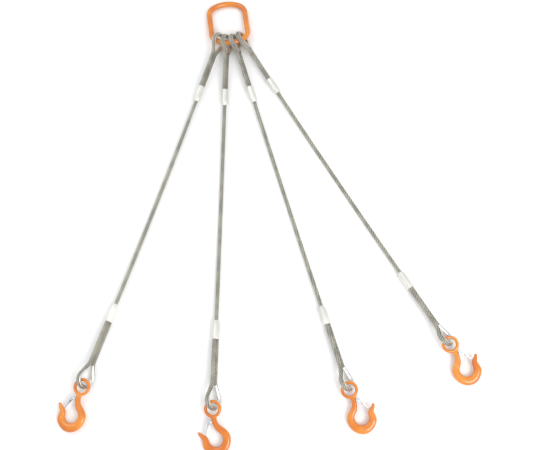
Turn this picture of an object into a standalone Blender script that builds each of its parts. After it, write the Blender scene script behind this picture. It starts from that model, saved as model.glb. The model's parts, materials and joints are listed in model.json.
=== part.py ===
"""Four-leg wire rope lifting sling, laid out flat on the floor.

An oblong master link carries four wire rope legs. Each rope end is turned back round a
thimble and closed with a pressed ferrule, and each lower thimble holds an eye hook with a
sprung latch. The frame is +Y towards the master link, +X to the right and +Z up, with the
origin under the middle of the whole sling. Lengths are metres and angles are degrees.
"""
import math

import bmesh
import bpy
from mathutils import Matrix, Vector

# ---- driving dimensions -------------------------------------------------------------------

LEG_AIM_DEG = (-25.0, -8.2, 9.2, 23.4)   # each leg's direction, from the link's axis

# master link, a round bar bent to an oblong with arched ends
LINK_INNER_LENGTH = 0.100
LINK_BAR_D = 0.0125
LINK_END_RADIUS = 0.059          # centreline radius of the arched ends
LINK_SIDE_ROOM = 0.0142          # outermost eye to the centreline of the side bar
LINK_END_MARGIN_DEG = 2.0        # arched end runs this far past the outermost eye

# wire rope legs
ROPE_D = 0.008
ROPE_SPAN = 0.484                # bare rope between the two ferrules of a leg
EYE_LENGTH = 0.130               # thimble bearing face to the near end of the ferrule
EYE_FILLET_RADIUS = 0.022        # bend where the two parts of the rope run together
EYE_SPACING = 0.0187             # between neighbouring eyes, along the link's bar
UPPER_ROLL_DEG = 34.0            # how far the eyes lean over from standing on edge
LOWER_ROLL_DEG = 40.0

# thimbles, a round trough bent to a teardrop
THIMBLE_CROWN_RADIUS = 0.011     # inside radius, where the load bears
THIMBLE_HALF_ANGLE_DEG = 24.0    # of the point
THIMBLE_WALL = 0.0011
THIMBLE_LIP = 0.0012             # how far the trough's sides rise past the rope's middle

# pressed ferrules
FERRULE_D = 0.0158
FERRULE_LENGTH = 0.039
FERRULE_CHAMFER = 0.0009
FERRULE_TAPER_LENGTH = 0.009     # at the end where the single rope leaves
FERRULE_NOSE_D = 0.0116

# eye hooks
HOOK_EYE_CLEARANCE = 0.0054      # round the thimble, inside the hook's eye
HOOK_EYE_RING_HALF_WIDTH = 0.0031
HOOK_EYE_RING_HALF_DEPTH = 0.0039
HOOK_REACH = 0.057               # eye centre to bowl centre
HOOK_BOWL_RADIUS = 0.0135
HOOK_SEAT_OFFSET = 0.0005        # eye centre past the centreline of the rope in its thimble
HOOK_ROLL_DEG = 8.0
HOOK_YAW_DEG = (0.0, 8.0, 7.0, 1.0)
HOOK_TIP_SIDE = (-1, -1, 1, 1)   # -1: the tip points to the left of its leg, seen from above

# latches
LATCH_PIVOT = (-0.0071, -0.0245)
LATCH_LENGTH = 0.0260
LATCH_AIM_DEG = -109.2           # direction from the pivot to the latch's nose
LATCH_WIDTH = 0.0124
LATCH_NOSE_WIDTH = 0.0084
LATCH_SHEET = 0.0013
PIN_D = 0.0030
PIN_HEAD_D = 0.0050
PIN_HEAD_HEIGHT = 0.0009
LUG_WIDTH = 0.0044
SPRING_WIRE_D = 0.0008
SPRING_TURNS = 3.25
SPRING_COIL_RADIUS = 0.0025
SPRING_FIXED_LEG = 0.0040
SPRING_MOVING_LEG = 0.0110

# fits
TOUCH_GAP = 0.0003               # between pieces that touch
TROUGH_GAP = 0.0004              # between the rope and its thimble
PIN_GAP = 0.0003
FLOOR_GAP = 0.0002

# facets
ROPE_SIDES = 8
BAR_SIDES = 12
FERRULE_SIDES = 16
ARC_STEP_DEG = 16.0
FINE_ARC_STEP_DEG = 9.0
ROPE_POINT_STEP = 0.020
SHARP_ANGLE_DEG = 40.0           # edges sharper than this are not smoothed over
ROUNDING = 1e-6                  # share of a step that is taken as none

# ---- sizes worked out from them -----------------------------------------------------------

ROPE_R = ROPE_D / 2
LINK_BAR_R = LINK_BAR_D / 2
FERRULE_R = FERRULE_D / 2
TROUGH_INNER_R = ROPE_R + TROUGH_GAP
TROUGH_OUTER_R = TROUGH_INNER_R + THIMBLE_WALL
LOOP_RADIUS = THIMBLE_CROWN_RADIUS + TROUGH_OUTER_R      # centreline of the rope at the crown
STRAND_OFFSET = ROPE_R + TOUCH_GAP / 2                   # of each part of the doubled rope
CROWN_TO_FERRULE = EYE_LENGTH - THIMBLE_CROWN_RADIUS     # from the crown's centre
CROWN_TO_EXIT = CROWN_TO_FERRULE + FERRULE_LENGTH
LEG_COUNT = len(LEG_AIM_DEG)
EYE_STEP = EYE_SPACING / LINK_END_RADIUS                 # radians of the arched bar
OUTER_EYE = EYE_STEP * (LEG_COUNT - 1) / 2
LINK_END_ANGLE = OUTER_EYE + math.radians(LINK_END_MARGIN_DEG)
LINK_HALF_WIDTH = LINK_END_RADIUS * math.sin(OUTER_EYE) + LINK_SIDE_ROOM
LINK_CORNER_RADIUS = ((LINK_HALF_WIDTH - LINK_END_RADIUS * math.sin(LINK_END_ANGLE))
                      / (1 - math.sin(LINK_END_ANGLE)))
LINK_CENTRE_LENGTH = LINK_INNER_LENGTH + LINK_BAR_D
HOOK_EYE_HOLE_R = TROUGH_OUTER_R + HOOK_EYE_CLEARANCE
HOOK_EYE_RING_R = HOOK_EYE_HOLE_R + HOOK_EYE_RING_HALF_WIDTH
HOOK_EYE_SHIFT = LOOP_RADIUS + HOOK_SEAT_OFFSET
PIN_R = PIN_D / 2
LATCH_INSIDE = LATCH_WIDTH / 2 - LATCH_SHEET             # middle plane to the inside of an ear
TONGUE_INSIDE = SPRING_COIL_RADIUS + SPRING_WIRE_D / 2 + TOUCH_GAP
LATCH_EAR_RADIUS = TONGUE_INSIDE + LATCH_SHEET
LUG_TOP = LATCH_INSIDE - TOUCH_GAP
SPRING_LENGTH = 2 * LATCH_INSIDE - LUG_WIDTH - 3 * TOUCH_GAP


def lowest_reach(roll):
    """How far an eye leaning over by roll reaches below its own centre."""
    rope = LOOP_RADIUS * math.cos(roll) + ROPE_R
    lip = (LOOP_RADIUS + THIMBLE_LIP) * math.cos(roll) + TROUGH_OUTER_R * math.sin(roll)
    return max(rope, lip)


# ---- outlines -----------------------------------------------------------------------------

def ellipse(sides, half_x, half_y, phase=0.0):
    """A ring of points, turned so that phase 0.5 puts a flat side on the +X axis."""
    turn = 2 * math.pi / sides
    return [(half_x * math.cos((k + phase) * turn), half_y * math.sin((k + phase) * turn))
            for k in range(sides)]


def arc(centre, radius, start, end, step_deg=ARC_STEP_DEG):
    """Points from angle start to angle end, both kept."""
    steps = max(1, math.ceil(abs(end - start) / math.radians(step_deg) - ROUNDING))
    angles = [start + (end - start) * k / steps for k in range(steps + 1)]
    return [Vector((centre[0] + radius * math.cos(a), centre[1] + radius * math.sin(a)))
            for a in angles]


def bezier(p0, p1, p2, p3, steps):
    """Points on a cubic curve, without its last one."""
    points = []
    for k in range(steps):
        t = k / steps
        s = 1 - t
        points.append(s ** 3 * p0 + 3 * s * s * t * p1 + 3 * s * t * t * p2 + t ** 3 * p3)
    return points


def trough_section():
    """The thimble's wall, cut across: a half-round trough with straight lips."""
    quarter = math.pi / 2
    outside = arc((0, 0), TROUGH_OUTER_R, quarter, 3 * quarter, 45)
    inside = arc((0, 0), TROUGH_INNER_R, 3 * quarter, quarter, 45)
    lips = [Vector((THIMBLE_LIP, side * radius)) for side, radius in (
        (1, TROUGH_OUTER_R), (-1, TROUGH_OUTER_R), (-1, TROUGH_INNER_R), (1, TROUGH_INNER_R))]
    return [lips[0], *outside, lips[1], lips[2], *inside, lips[3]]


def loop_flank():
    """Half of the eye's outline: where the flank leaves the crown, and its direction."""
    half = math.radians(THIMBLE_HALF_ANGLE_DEG)
    outward = Vector((math.sin(half), math.cos(half)))
    along = Vector((math.cos(half), -math.sin(half)))
    return outward * LOOP_RADIUS, along, half


def mirrored_loop(flank):
    """A whole loop: the given points of one flank, the crown, and the flank mirrored."""
    first = math.pi / 2 - math.radians(THIMBLE_HALF_ANGLE_DEG)
    crown = arc((0, 0), LOOP_RADIUS, first, 2 * math.pi - first)
    back = [Vector((p.x, -p.y)) for p in reversed(flank)]
    return flank + crown + back


def thimble_path():
    """The rope's centreline over the stretch that the thimble covers."""
    start, along, half = loop_flank()
    room = (LOOP_RADIUS - TROUGH_OUTER_R) * math.cos(half) - TOUCH_GAP
    return mirrored_loop([start + along * (room / math.sin(half))])


def eye_rope_path():
    """The rope's centreline from one end at the ferrule, round the eye, and back."""
    start, along, half = loop_flank()
    tangent = EYE_FILLET_RADIUS * math.tan(half / 2)
    corner = start + along * ((start.y - STRAND_OFFSET) / math.sin(half))
    centre = (corner.x + tangent, STRAND_OFFSET + EYE_FILLET_RADIUS)
    bend = arc(centre, EYE_FILLET_RADIUS, -math.pi / 2, -math.pi / 2 - half,
               FINE_ARC_STEP_DEG)
    end = Vector((CROWN_TO_FERRULE - TOUCH_GAP, STRAND_OFFSET))
    middle = (end + bend[0]) / 2
    return mirrored_loop([end, middle, *bend])


def link_path():
    """The master link's centreline, from the left of its lower end, all the way round."""
    quarter = math.pi / 2
    ends = []
    for side in (-1, 1):
        centre_y = side * (LINK_CENTRE_LENGTH / 2 - LINK_END_RADIUS)
        ends.append(arc((0, centre_y), LINK_END_RADIUS, side * quarter - LINK_END_ANGLE,
                        side * quarter + LINK_END_ANGLE, FINE_ARC_STEP_DEG))
    reach = LINK_END_RADIUS - LINK_CORNER_RADIUS
    corner_x = reach * math.sin(LINK_END_ANGLE)
    corner_y = LINK_CENTRE_LENGTH / 2 - LINK_END_RADIUS + reach * math.cos(LINK_END_ANGLE)
    turn = quarter - LINK_END_ANGLE
    corners = [arc((x, y), LINK_CORNER_RADIUS, start, start + turn) for x, y, start in (
        (corner_x, -corner_y, -turn), (corner_x, corner_y, 0),
        (-corner_x, corner_y, 2 * quarter - turn), (-corner_x, -corner_y, 2 * quarter))]
    return (ends[0] + corners[0][1:] + corners[1][:-1]
            + ends[1] + corners[2][1:] + corners[3][:-1])


# ---- meshes -------------------------------------------------------------------------------

def closed_mesh(name, bm):
    """Turn a closed bmesh into a mesh with its faces pointing out."""
    bmesh.ops.recalc_face_normals(bm, faces=bm.faces)
    mesh = bpy.data.meshes.new(name)
    bm.to_mesh(mesh)
    bm.free()
    mesh.shade_smooth()
    mesh.set_sharp_from_angle(angle=math.radians(SHARP_ANGLE_DEG))
    return mesh


def swept_mesh(name, path, sections, closed=False):
    """Sweep a section along a path in the XY plane. Section X points to the path's right."""
    bm = bmesh.new()
    count = len(path)
    rings = []
    for k, point in enumerate(path):
        before = path[k - 1] if closed or k else point
        after = path[(k + 1) % count] if closed or k + 1 < count else point
        along = ((point - before).normalized() + (after - point).normalized()).normalized()
        right = Vector((along.y, -along.x))
        rings.append([bm.verts.new((*(point + right * x), z)) for x, z in sections[k]])
    for k in range(count if closed else count - 1):
        ring, following = rings[k], rings[(k + 1) % count]
        for j in range(len(ring)):
            i = (j + 1) % len(ring)
            bm.faces.new((ring[j], ring[i], following[i], following[j]))
    if not closed:
        bm.faces.new(rings[0])
        bm.faces.new(rings[-1])
    return closed_mesh(name, bm)


def turned_mesh(name, profile, sides):
    """Turn (length, radius) points about the X axis, with a flat face at each end."""
    bm = bmesh.new()
    rings = [[bm.verts.new((x, y, z)) for y, z in ellipse(sides, radius, radius)]
             for x, radius in profile]
    for ring, following in zip(rings, rings[1:]):
        for j in range(sides):
            i = (j + 1) % sides
            bm.faces.new((ring[j], ring[i], following[i], following[j]))
    bm.faces.new(rings[0])
    bm.faces.new(rings[-1])
    return closed_mesh(name, bm)


def plate_mesh(name, outline, low, high):
    """A flat plate: an outline in the XY plane, from height low to height high."""
    bm = bmesh.new()
    face = bm.faces.new([bm.verts.new((p[0], p[1], low)) for p in outline])
    raised = bmesh.ops.extrude_face_region(bm, geom=[face])["geom"]
    for vert in (v for v in raised if isinstance(v, bmesh.types.BMVert)):
        vert.co.z = high
    return closed_mesh(name, bm)


def combined(name, base, others, operation="UNION"):
    """One mesh from several by exact Booleans; the pieces used up are removed."""
    body = bpy.data.objects.new(name, base)
    bpy.context.collection.objects.link(body)
    helpers = []
    for k, mesh in enumerate(others):
        helper = bpy.data.objects.new(f"{name}_{k}", mesh)
        bpy.context.collection.objects.link(helper)
        helpers.append(helper)
        modifier = body.modifiers.new(f"{operation}_{k}", "BOOLEAN")
        modifier.operation = operation
        modifier.object = helper
        modifier.solver = "EXACT"
    graph = bpy.context.evaluated_depsgraph_get()
    result = bpy.data.meshes.new_from_object(body.evaluated_get(graph))
    result.name = name
    for obj in (body, *helpers):
        bpy.data.objects.remove(obj)
    result.shade_smooth()
    result.set_sharp_from_angle(angle=math.radians(SHARP_ANGLE_DEG))
    return result


def make_link_mesh():
    path = link_path()
    section = ellipse(BAR_SIDES, LINK_BAR_R, LINK_BAR_R, 0.5)
    return swept_mesh("master_link", path, [section] * len(path), closed=True)


def make_thimble_mesh():
    path = thimble_path()
    return swept_mesh("thimble", path, [trough_section()] * len(path))


def make_eye_rope_mesh():
    path = eye_rope_path()
    section = ellipse(ROPE_SIDES, ROPE_R, ROPE_R)
    return swept_mesh("eye_rope", path, [section] * len(path))


def make_ferrule_mesh():
    """From the face where the doubled rope enters to the tapered nose."""
    nose_r = FERRULE_NOSE_D / 2
    taper_start = FERRULE_LENGTH - FERRULE_TAPER_LENGTH
    profile = [(0, FERRULE_R - FERRULE_CHAMFER), (FERRULE_CHAMFER, FERRULE_R),
               (taper_start, FERRULE_R), (FERRULE_LENGTH - FERRULE_CHAMFER, nose_r),
               (FERRULE_LENGTH, nose_r - FERRULE_CHAMFER)]
    return turned_mesh("ferrule", profile, FERRULE_SIDES)


# ---- hook ---------------------------------------------------------------------------------

# bowl angle, half width in the hook's plane and half depth across it
BOWL_STATIONS = ((55, 0.0064, 0.0056), (0, 0.0077, 0.0064), (-80, 0.0088, 0.0068),
                 (-140, 0.0079, 0.0064), (-177, 0.0064, 0.0054))
BOWL_STEP_DEG = 17.5
NECK_HALF_WIDTH = 0.0050
NECK_HALF_DEPTH = 0.0050
NECK_ROOT_HALF_WIDTH = 0.0062
NECK_ROOT_HALF_DEPTH = 0.0034
NECK_STEPS = 5
NECK_PULL = 0.010
TIP_POINT = Vector((-0.0310, -0.0422))
TIP_AIM_DEG = 114.0
TIP_HALF_WIDTH = 0.0027
TIP_HALF_DEPTH = 0.0030
TIP_STEPS = 5
TIP_PULL = 0.0075
TIP_ROUND = 0.0016


def bowl_size(angle_deg):
    """Half width and half depth at a bowl angle, eased between the stations."""
    for (a0, w0, d0), (a1, w1, d1) in zip(BOWL_STATIONS, BOWL_STATIONS[1:]):
        if angle_deg >= a1:
            t = (a0 - angle_deg) / (a0 - a1)
            t = t * t * (3 - 2 * t)
            return w0 + (w1 - w0) * t, d0 + (d1 - d0) * t
    return BOWL_STATIONS[-1][1:]


def bowl_point(angle_deg):
    """The centreline of the bowl: its inside is a true circle."""
    radius = HOOK_BOWL_RADIUS + bowl_size(angle_deg)[0]
    angle = math.radians(angle_deg)
    return Vector((radius * math.cos(angle), -HOOK_REACH + radius * math.sin(angle)))


def direction(angle_deg):
    return Vector((math.cos(math.radians(angle_deg)), math.sin(math.radians(angle_deg))))


def hook_spine():
    """Points down the neck, round the bowl and out to the tip, with each one's half sizes."""
    first, last = BOWL_STATIONS[0][0], BOWL_STATIONS[-1][0]
    root = Vector((0, -HOOK_EYE_RING_R))
    shoulder = bowl_point(first)
    neck = bezier(root, root - Vector((0, NECK_PULL)),
                  shoulder - direction(first - 90) * NECK_PULL, shoulder, NECK_STEPS)
    points, sizes = list(neck), []
    for k in range(NECK_STEPS):
        t = k / NECK_STEPS
        waist = math.sin(math.pi * min(1.0, t * 1.25))
        width = NECK_ROOT_HALF_WIDTH + (BOWL_STATIONS[0][1] - NECK_ROOT_HALF_WIDTH) * t
        depth = NECK_ROOT_HALF_DEPTH + (BOWL_STATIONS[0][2] - NECK_ROOT_HALF_DEPTH) * t
        sizes.append((width + (NECK_HALF_WIDTH - width) * waist,
                      depth + (NECK_HALF_DEPTH - depth) * waist))
    steps = round((first - last) / BOWL_STEP_DEG)
    for k in range(steps):
        angle = first + (last - first) * k / steps
        points.append(bowl_point(angle))
        sizes.append(bowl_size(angle))
    heel = bowl_point(last)
    aim = direction(TIP_AIM_DEG)
    points += bezier(heel, heel + direction(last - 90) * TIP_PULL, TIP_POINT - aim * TIP_PULL,
                     TIP_POINT, TIP_STEPS)
    _, heel_width, heel_depth = BOWL_STATIONS[-1]
    for k in range(TIP_STEPS):
        t = k / TIP_STEPS
        sizes.append((heel_width + (TIP_HALF_WIDTH - heel_width) * t,
                      heel_depth + (TIP_HALF_DEPTH - heel_depth) * t))
    points += [TIP_POINT, TIP_POINT + aim * TIP_ROUND]
    sizes += [(TIP_HALF_WIDTH, TIP_HALF_DEPTH), (TIP_HALF_WIDTH / 2, TIP_HALF_DEPTH / 2)]
    return points, sizes


def make_hook_mesh():
    """Eye ring, neck, bowl and tip in one forging, with a drilled lug for the latch pin."""
    path = arc((0, 0), HOOK_EYE_RING_R, 0, 2 * math.pi, 15)[:-1]
    ring_section = ellipse(10, HOOK_EYE_RING_HALF_WIDTH, HOOK_EYE_RING_HALF_DEPTH)
    ring = swept_mesh("hook_eye", path, [ring_section] * len(path), closed=True)
    points, sizes = hook_spine()
    sections = [ellipse(BAR_SIDES, w, d, 0.5) for w, d in sizes]
    shank = swept_mesh("hook_shank", points, sections)
    pivot = Vector(LATCH_PIVOT)
    lug_r = TONGUE_INSIDE - TOUCH_GAP
    outline = arc(pivot, lug_r, math.radians(90), math.radians(270), 30)
    outline += [Vector((0, pivot.y - lug_r)), Vector((0, pivot.y + lug_r))]
    lug = plate_mesh("hook_lug", outline, LUG_TOP - LUG_WIDTH, LUG_TOP)
    body = combined("hook", ring, [shank, lug])
    return combined("hook", body, [pin_hole(pivot)], "DIFFERENCE")


def pin_hole(centre):
    outline = arc(centre, PIN_R + PIN_GAP, 0, 2 * math.pi, 30)[:-1]
    return plate_mesh("pin_hole", outline, -LATCH_WIDTH, LATCH_WIDTH)


def make_latch_mesh():
    """A sheet tongue with two ears. The pivot is at the origin and the nose along +X."""
    half, nose = LATCH_WIDTH / 2, LATCH_NOSE_WIDTH / 2
    root, shoulder = -LATCH_EAR_RADIUS / 3, LATCH_EAR_RADIUS * 1.5
    nose_x = LATCH_LENGTH - nose
    side = [Vector((root, half)), Vector((shoulder, half)), Vector((nose_x, nose))]
    tip = arc((nose_x, 0), nose, math.radians(60), math.radians(-60), 30)
    outline = side + tip + [Vector((p.x, -p.y)) for p in reversed(side)]
    tongue = plate_mesh("latch_tongue", outline, TONGUE_INSIDE, LATCH_EAR_RADIUS)
    tongue.transform(Matrix.Rotation(math.radians(90), 4, "X"))
    middle = (TONGUE_INSIDE + LATCH_EAR_RADIUS) / 2
    ear = arc((0, 0), LATCH_EAR_RADIUS, 0, math.radians(200), 25)
    ear += [Vector((root, -middle)), Vector((shoulder, -middle))]
    ears = [plate_mesh(f"latch_ear_{k}", ear, low, low + LATCH_SHEET)
            for k, low in enumerate((-half, half - LATCH_SHEET))]
    latch = combined("latch", tongue, ears)
    return combined("latch", latch, [pin_hole(Vector((0, 0)))], "DIFFERENCE")


def make_pin_mesh():
    """A rivet through lug and ears, turned about the X axis."""
    half = LATCH_WIDTH / 2 + TOUCH_GAP
    head = half + PIN_HEAD_HEIGHT
    middle = half + PIN_HEAD_HEIGHT / 2
    head_r = PIN_HEAD_D / 2
    crown_r = head_r * 0.7
    profile = [(-head, crown_r), (-middle, head_r), (-half, head_r), (-half, PIN_R),
               (half, PIN_R), (half, head_r), (middle, head_r), (head, crown_r)]
    return turned_mesh("latch_pin", profile, BAR_SIDES)


def spring_points():
    """The torsion spring's wire: a leg to the neck, the coil, and a leg under the tongue."""
    low = -LATCH_INSIDE + TOUCH_GAP + SPRING_WIRE_D / 2
    rise = SPRING_LENGTH - SPRING_WIRE_D
    end = math.radians(LATCH_AIM_DEG - 90)
    start = end - 2 * math.pi * SPRING_TURNS
    steps = round(10 * SPRING_TURNS)
    coil = []
    for k in range(steps + 1):
        angle = start + (end - start) * k / steps
        coil.append(Vector((SPRING_COIL_RADIUS * math.cos(angle),
                            SPRING_COIL_RADIUS * math.sin(angle), low + rise * k / steps)))
    to_neck = Vector((*direction(math.degrees(start) - 90), 0))
    to_nose = Vector((*direction(LATCH_AIM_DEG), 0))
    return ([coil[0] + to_neck * SPRING_FIXED_LEG] + coil
            + [coil[-1] + to_nose * SPRING_MOVING_LEG / 2,
               coil[-1] + to_nose * SPRING_MOVING_LEG])


def tube_curve(name, points, radius, resolution):
    """A round tube along a line of points, with its ends closed."""
    curve = bpy.data.curves.new(name, "CURVE")
    curve.dimensions = "3D"
    curve.bevel_depth = radius
    curve.bevel_resolution = resolution
    curve.use_fill_caps = True
    spline = curve.splines.new("POLY")
    spline.points.add(len(points) - 1)
    for target, point in zip(spline.points, points):
        target.co = (*point, 1)
    return curve


# ---- placing ------------------------------------------------------------------------------

FINISHES = {
    "orange_paint": ((0.87, 0.25, 0.05, 1), 0.35, 0.0),
    "galvanised_rope": ((0.36, 0.34, 0.28, 1), 0.5, 0.8),
    "thimble_steel": ((0.70, 0.69, 0.66, 1), 0.35, 0.9),
    "pressed_aluminium": ((0.78, 0.77, 0.74, 1), 0.45, 0.7),
    "latch_steel": ((0.62, 0.68, 0.72, 1), 0.35, 0.9),
    "spring_steel": ((0.45, 0.45, 0.46, 1), 0.35, 0.9),
}
WORLD_UP = Vector((0, 0, 1))


def make_materials():
    made = {}
    for name, (colour, roughness, metallic) in FINISHES.items():
        material = bpy.data.materials.new(name)
        material.use_nodes = True
        shader = material.node_tree.nodes["Principled BSDF"]
        shader.inputs["Base Color"].default_value = colour
        shader.inputs["Roughness"].default_value = roughness
        shader.inputs["Metallic"].default_value = metallic
        material.diffuse_color = colour
        made[name] = material
    return made


def frame(origin, x, y, z):
    """A placement from an origin and three perpendicular directions."""
    matrix = Matrix((x, y, z)).transposed().to_4x4()
    matrix.translation = origin
    return matrix


def add(name, data, parent, world):
    """Link an object, or an empty where data is None, and place it in the world."""
    obj = bpy.data.objects.new(name, data)
    bpy.context.collection.objects.link(obj)
    obj.parent = parent
    bpy.context.view_layer.update()
    obj.matrix_world = world
    return obj


def add_piece(name, data, finish, parent, world):
    obj = add(name, data, parent, world)
    if obj.data.materials:
        return obj
    obj.data.materials.append(MATERIALS[finish])
    return obj


class Leg:
    """The places along one leg, worked out in the upright plane that it lies in."""

    def __init__(self, index):
        aim = math.radians(LEG_AIM_DEG[index])
        self.out = Vector((math.sin(aim), -math.cos(aim), 0))
        self.side = Vector((math.cos(aim), math.sin(aim), 0))
        seat = (index - (LEG_COUNT - 1) / 2) * EYE_STEP
        rise = LINK_END_RADIUS * (1 - math.cos(seat))
        self.start = LINK_PLACE @ Vector((LINK_END_RADIUS * math.sin(seat),
                                          rise - LINK_CENTRE_LENGTH / 2, 0))
        self.low = ROPE_R + FLOOR_GAP
        self.upper_slope = self.slope_from(self.start.z)
        self.lower_height = lowest_reach(math.radians(LOWER_ROLL_DEG)) + FLOOR_GAP
        self.lower_slope = self.slope_from(self.lower_height)
        self.rope_start = CROWN_TO_EXIT * math.cos(math.atan(self.upper_slope))
        self.rope_end = self.rope_start + ROPE_SPAN
        self.reach = self.rope_end + CROWN_TO_EXIT * math.cos(math.atan(self.lower_slope))

    def slope_from(self, height):
        """Slope of an eye whose rope comes down to the floor in the middle of its span."""
        return (height - self.low) / (CROWN_TO_EXIT + ROPE_SPAN / 4)

    def height(self, along):
        """Height of the bare rope's centreline, a shallow sag between the ferrules."""
        half = ROPE_SPAN / 2
        past = along - self.rope_start - half
        slope = self.upper_slope if past < 0 else self.lower_slope
        return self.low + slope * past * past / (2 * half)

    def point(self, along, height):
        return Vector((self.start.x, self.start.y, 0)) + self.out * along + WORLD_UP * height

    def upper_frame(self):
        """X towards the ferrule, Z the axis that the leg swings about."""
        pitch = -math.atan(self.upper_slope)
        x = self.out * math.cos(pitch) + WORLD_UP * math.sin(pitch)
        return self.rolled(self.start, x, math.radians(UPPER_ROLL_DEG))

    def lower_frame(self):
        """X back towards the ferrule, Z across the plane of the lower eye."""
        pitch = math.atan(self.lower_slope)
        x = -self.out * math.cos(pitch) - WORLD_UP * math.sin(pitch)
        centre = self.point(self.reach, self.lower_height)
        return self.rolled(centre, x, math.radians(LOWER_ROLL_DEG))

    def rolled(self, centre, x, roll):
        across = WORLD_UP - x * x.dot(WORLD_UP)
        across.normalize()
        y = across * math.cos(roll) - self.side * math.sin(roll)
        return frame(centre, x, y, x.cross(y))

    def stretch(self, first, last):
        """World points along the bare rope between two shares of its span."""
        ends = [self.rope_start + ROPE_SPAN * share + gap for share, gap in (
            (first, TOUCH_GAP if first == 0 else TOUCH_GAP / 2),
            (last, -TOUCH_GAP if last == 1 else -TOUCH_GAP / 2))]
        steps = math.ceil((ends[1] - ends[0]) / ROPE_POINT_STEP)
        stations = [ends[0] + (ends[1] - ends[0]) * k / steps for k in range(steps + 1)]
        return [self.point(a, self.height(a)) for a in stations]

    def flex_frame(self, share):
        """X along the rope, Y level across it, Z up, on the rope's centreline."""
        along = self.rope_start + ROPE_SPAN * share
        return frame(self.point(along, self.height(along)), self.out, self.side, WORLD_UP)


def link_place():
    """The link lies on its far end, with its near end lifted by the eyes round its bar."""
    near = lowest_reach(math.radians(UPPER_ROLL_DEG)) + FLOOR_GAP
    near += LINK_BAR_R * (1 - math.cos(OUTER_EYE))
    tilt = math.asin((near - LINK_BAR_R - FLOOR_GAP) / LINK_CENTRE_LENGTH)
    height = (near + LINK_BAR_R + FLOOR_GAP) / 2
    return Matrix.Translation((0, 0, height)) @ Matrix.Rotation(-tilt, 4, "X")


def settled_hook(mesh, centre, leg, index):
    """Lower the hook about its eye until its bowl touches the floor."""
    yaw = Matrix.Rotation(math.radians(HOOK_YAW_DEG[index]), 3, "Z")
    down, side = yaw @ leg.out, yaw @ leg.side
    flip = -HOOK_TIP_SIDE[index]
    roll = math.radians(HOOK_ROLL_DEG)

    def at(pitch):
        along = down * math.cos(pitch) - WORLD_UP * math.sin(pitch)
        level = down * math.sin(pitch) + WORLD_UP * math.cos(pitch)
        normal = level * math.cos(roll) - side * math.sin(roll)
        y, z = -along, normal * flip
        return frame(centre, y.cross(z), y, z)

    low, high = math.radians(-20), math.radians(20)
    for _ in range(40):
        middle = (low + high) / 2
        place = at(middle)
        if min((place @ v.co).z for v in mesh.vertices) > FLOOR_GAP:
            low = middle
        else:
            high = middle
    return at(low)


def build_hook(index, leg, parent, meshes):
    lower = leg.lower_frame()
    eye = lower @ Vector((-HOOK_EYE_SHIFT, 0, 0))
    place = settled_hook(meshes["hook"], eye, leg, index)
    name = f"hook_{index + 1}"
    pivot = add(f"{name}_pivot", None, parent, place)
    add_piece(name, meshes["hook"], "orange_paint", pivot, place)
    hinge = place @ Matrix.Translation((*LATCH_PIVOT, 0))
    upright = Matrix.Rotation(math.radians(90), 4, "Y")
    add_piece(f"{name}_latch_pin", meshes["pin"], "latch_steel", pivot, hinge @ upright)
    add_piece(f"{name}_latch_spring", meshes["spring"], "spring_steel", pivot, hinge)
    aimed = hinge @ Matrix.Rotation(math.radians(LATCH_AIM_DEG), 4, "Z")
    latch_pivot = add(f"{name}_latch_pivot", None, pivot, aimed)
    add_piece(f"{name}_latch", meshes["latch"], "latch_steel", latch_pivot, aimed)


def build_leg(index, link, meshes):
    leg = Leg(index)
    name = f"leg_{index + 1}"
    upper, lower = leg.upper_frame(), leg.lower_frame()
    at_ferrule = Matrix.Translation((CROWN_TO_FERRULE, 0, 0))
    swing = add(f"{name}_swing", None, link, upper)
    lift = add(f"{name}_lift", None, swing, leg.flex_frame(1 / 3))
    sway = add(f"{name}_sway", None, lift, leg.flex_frame(2 / 3))
    for end, parent, place in (("upper", swing, upper), ("lower", sway, lower)):
        add_piece(f"{name}_{end}_thimble", meshes["thimble"], "thimble_steel", parent, place)
        add_piece(f"{name}_{end}_eye_rope", meshes["eye_rope"], "galvanised_rope", parent, place)
        add_piece(f"{name}_{end}_ferrule", meshes["ferrule"], "pressed_aluminium", parent,
                  place @ at_ferrule)
    for part, parent, first in (("top", swing, 0), ("middle", lift, 1), ("bottom", sway, 2)):
        points = leg.stretch(first / 3, (first + 1) / 3)
        tube = tube_curve(f"{name}_rope_{part}", points, ROPE_R, 2)
        add_piece(f"{name}_rope_{part}", tube, "galvanised_rope", parent, Matrix.Identity(4))
    build_hook(index, leg, sway, meshes)


def centre_on_floor(root):
    """Move the whole sling so that the origin is under the middle of its box."""
    bpy.context.view_layer.update()
    graph = bpy.context.evaluated_depsgraph_get()
    corners = []
    for obj in bpy.context.scene.objects:
        if obj.type != "EMPTY":
            shape = obj.evaluated_get(graph)
            mesh = shape.to_mesh()
            corners += [obj.matrix_world @ v.co for v in mesh.vertices]
            shape.to_mesh_clear()
    low = [min(c[k] for c in corners) for k in range(3)]
    high = [max(c[k] for c in corners) for k in range(3)]
    root.location = (-(low[0] + high[0]) / 2, -(low[1] + high[1]) / 2, -low[2])


def main():
    sling = add("sling", None, None, Matrix.Identity(4))
    meshes = {"thimble": make_thimble_mesh(), "eye_rope": make_eye_rope_mesh(),
              "ferrule": make_ferrule_mesh(), "hook": make_hook_mesh(),
              "latch": make_latch_mesh(), "pin": make_pin_mesh(),
              "spring": tube_curve("latch_spring", spring_points(), SPRING_WIRE_D / 2, 1)}
    link = add_piece("master_link", make_link_mesh(), "orange_paint", sling, LINK_PLACE)
    for index in range(LEG_COUNT):
        build_leg(index, link, meshes)
    centre_on_floor(sling)


for old in list(bpy.data.objects):
    bpy.data.objects.remove(old)
LINK_PLACE = link_place()
MATERIALS = make_materials()
main()
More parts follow.
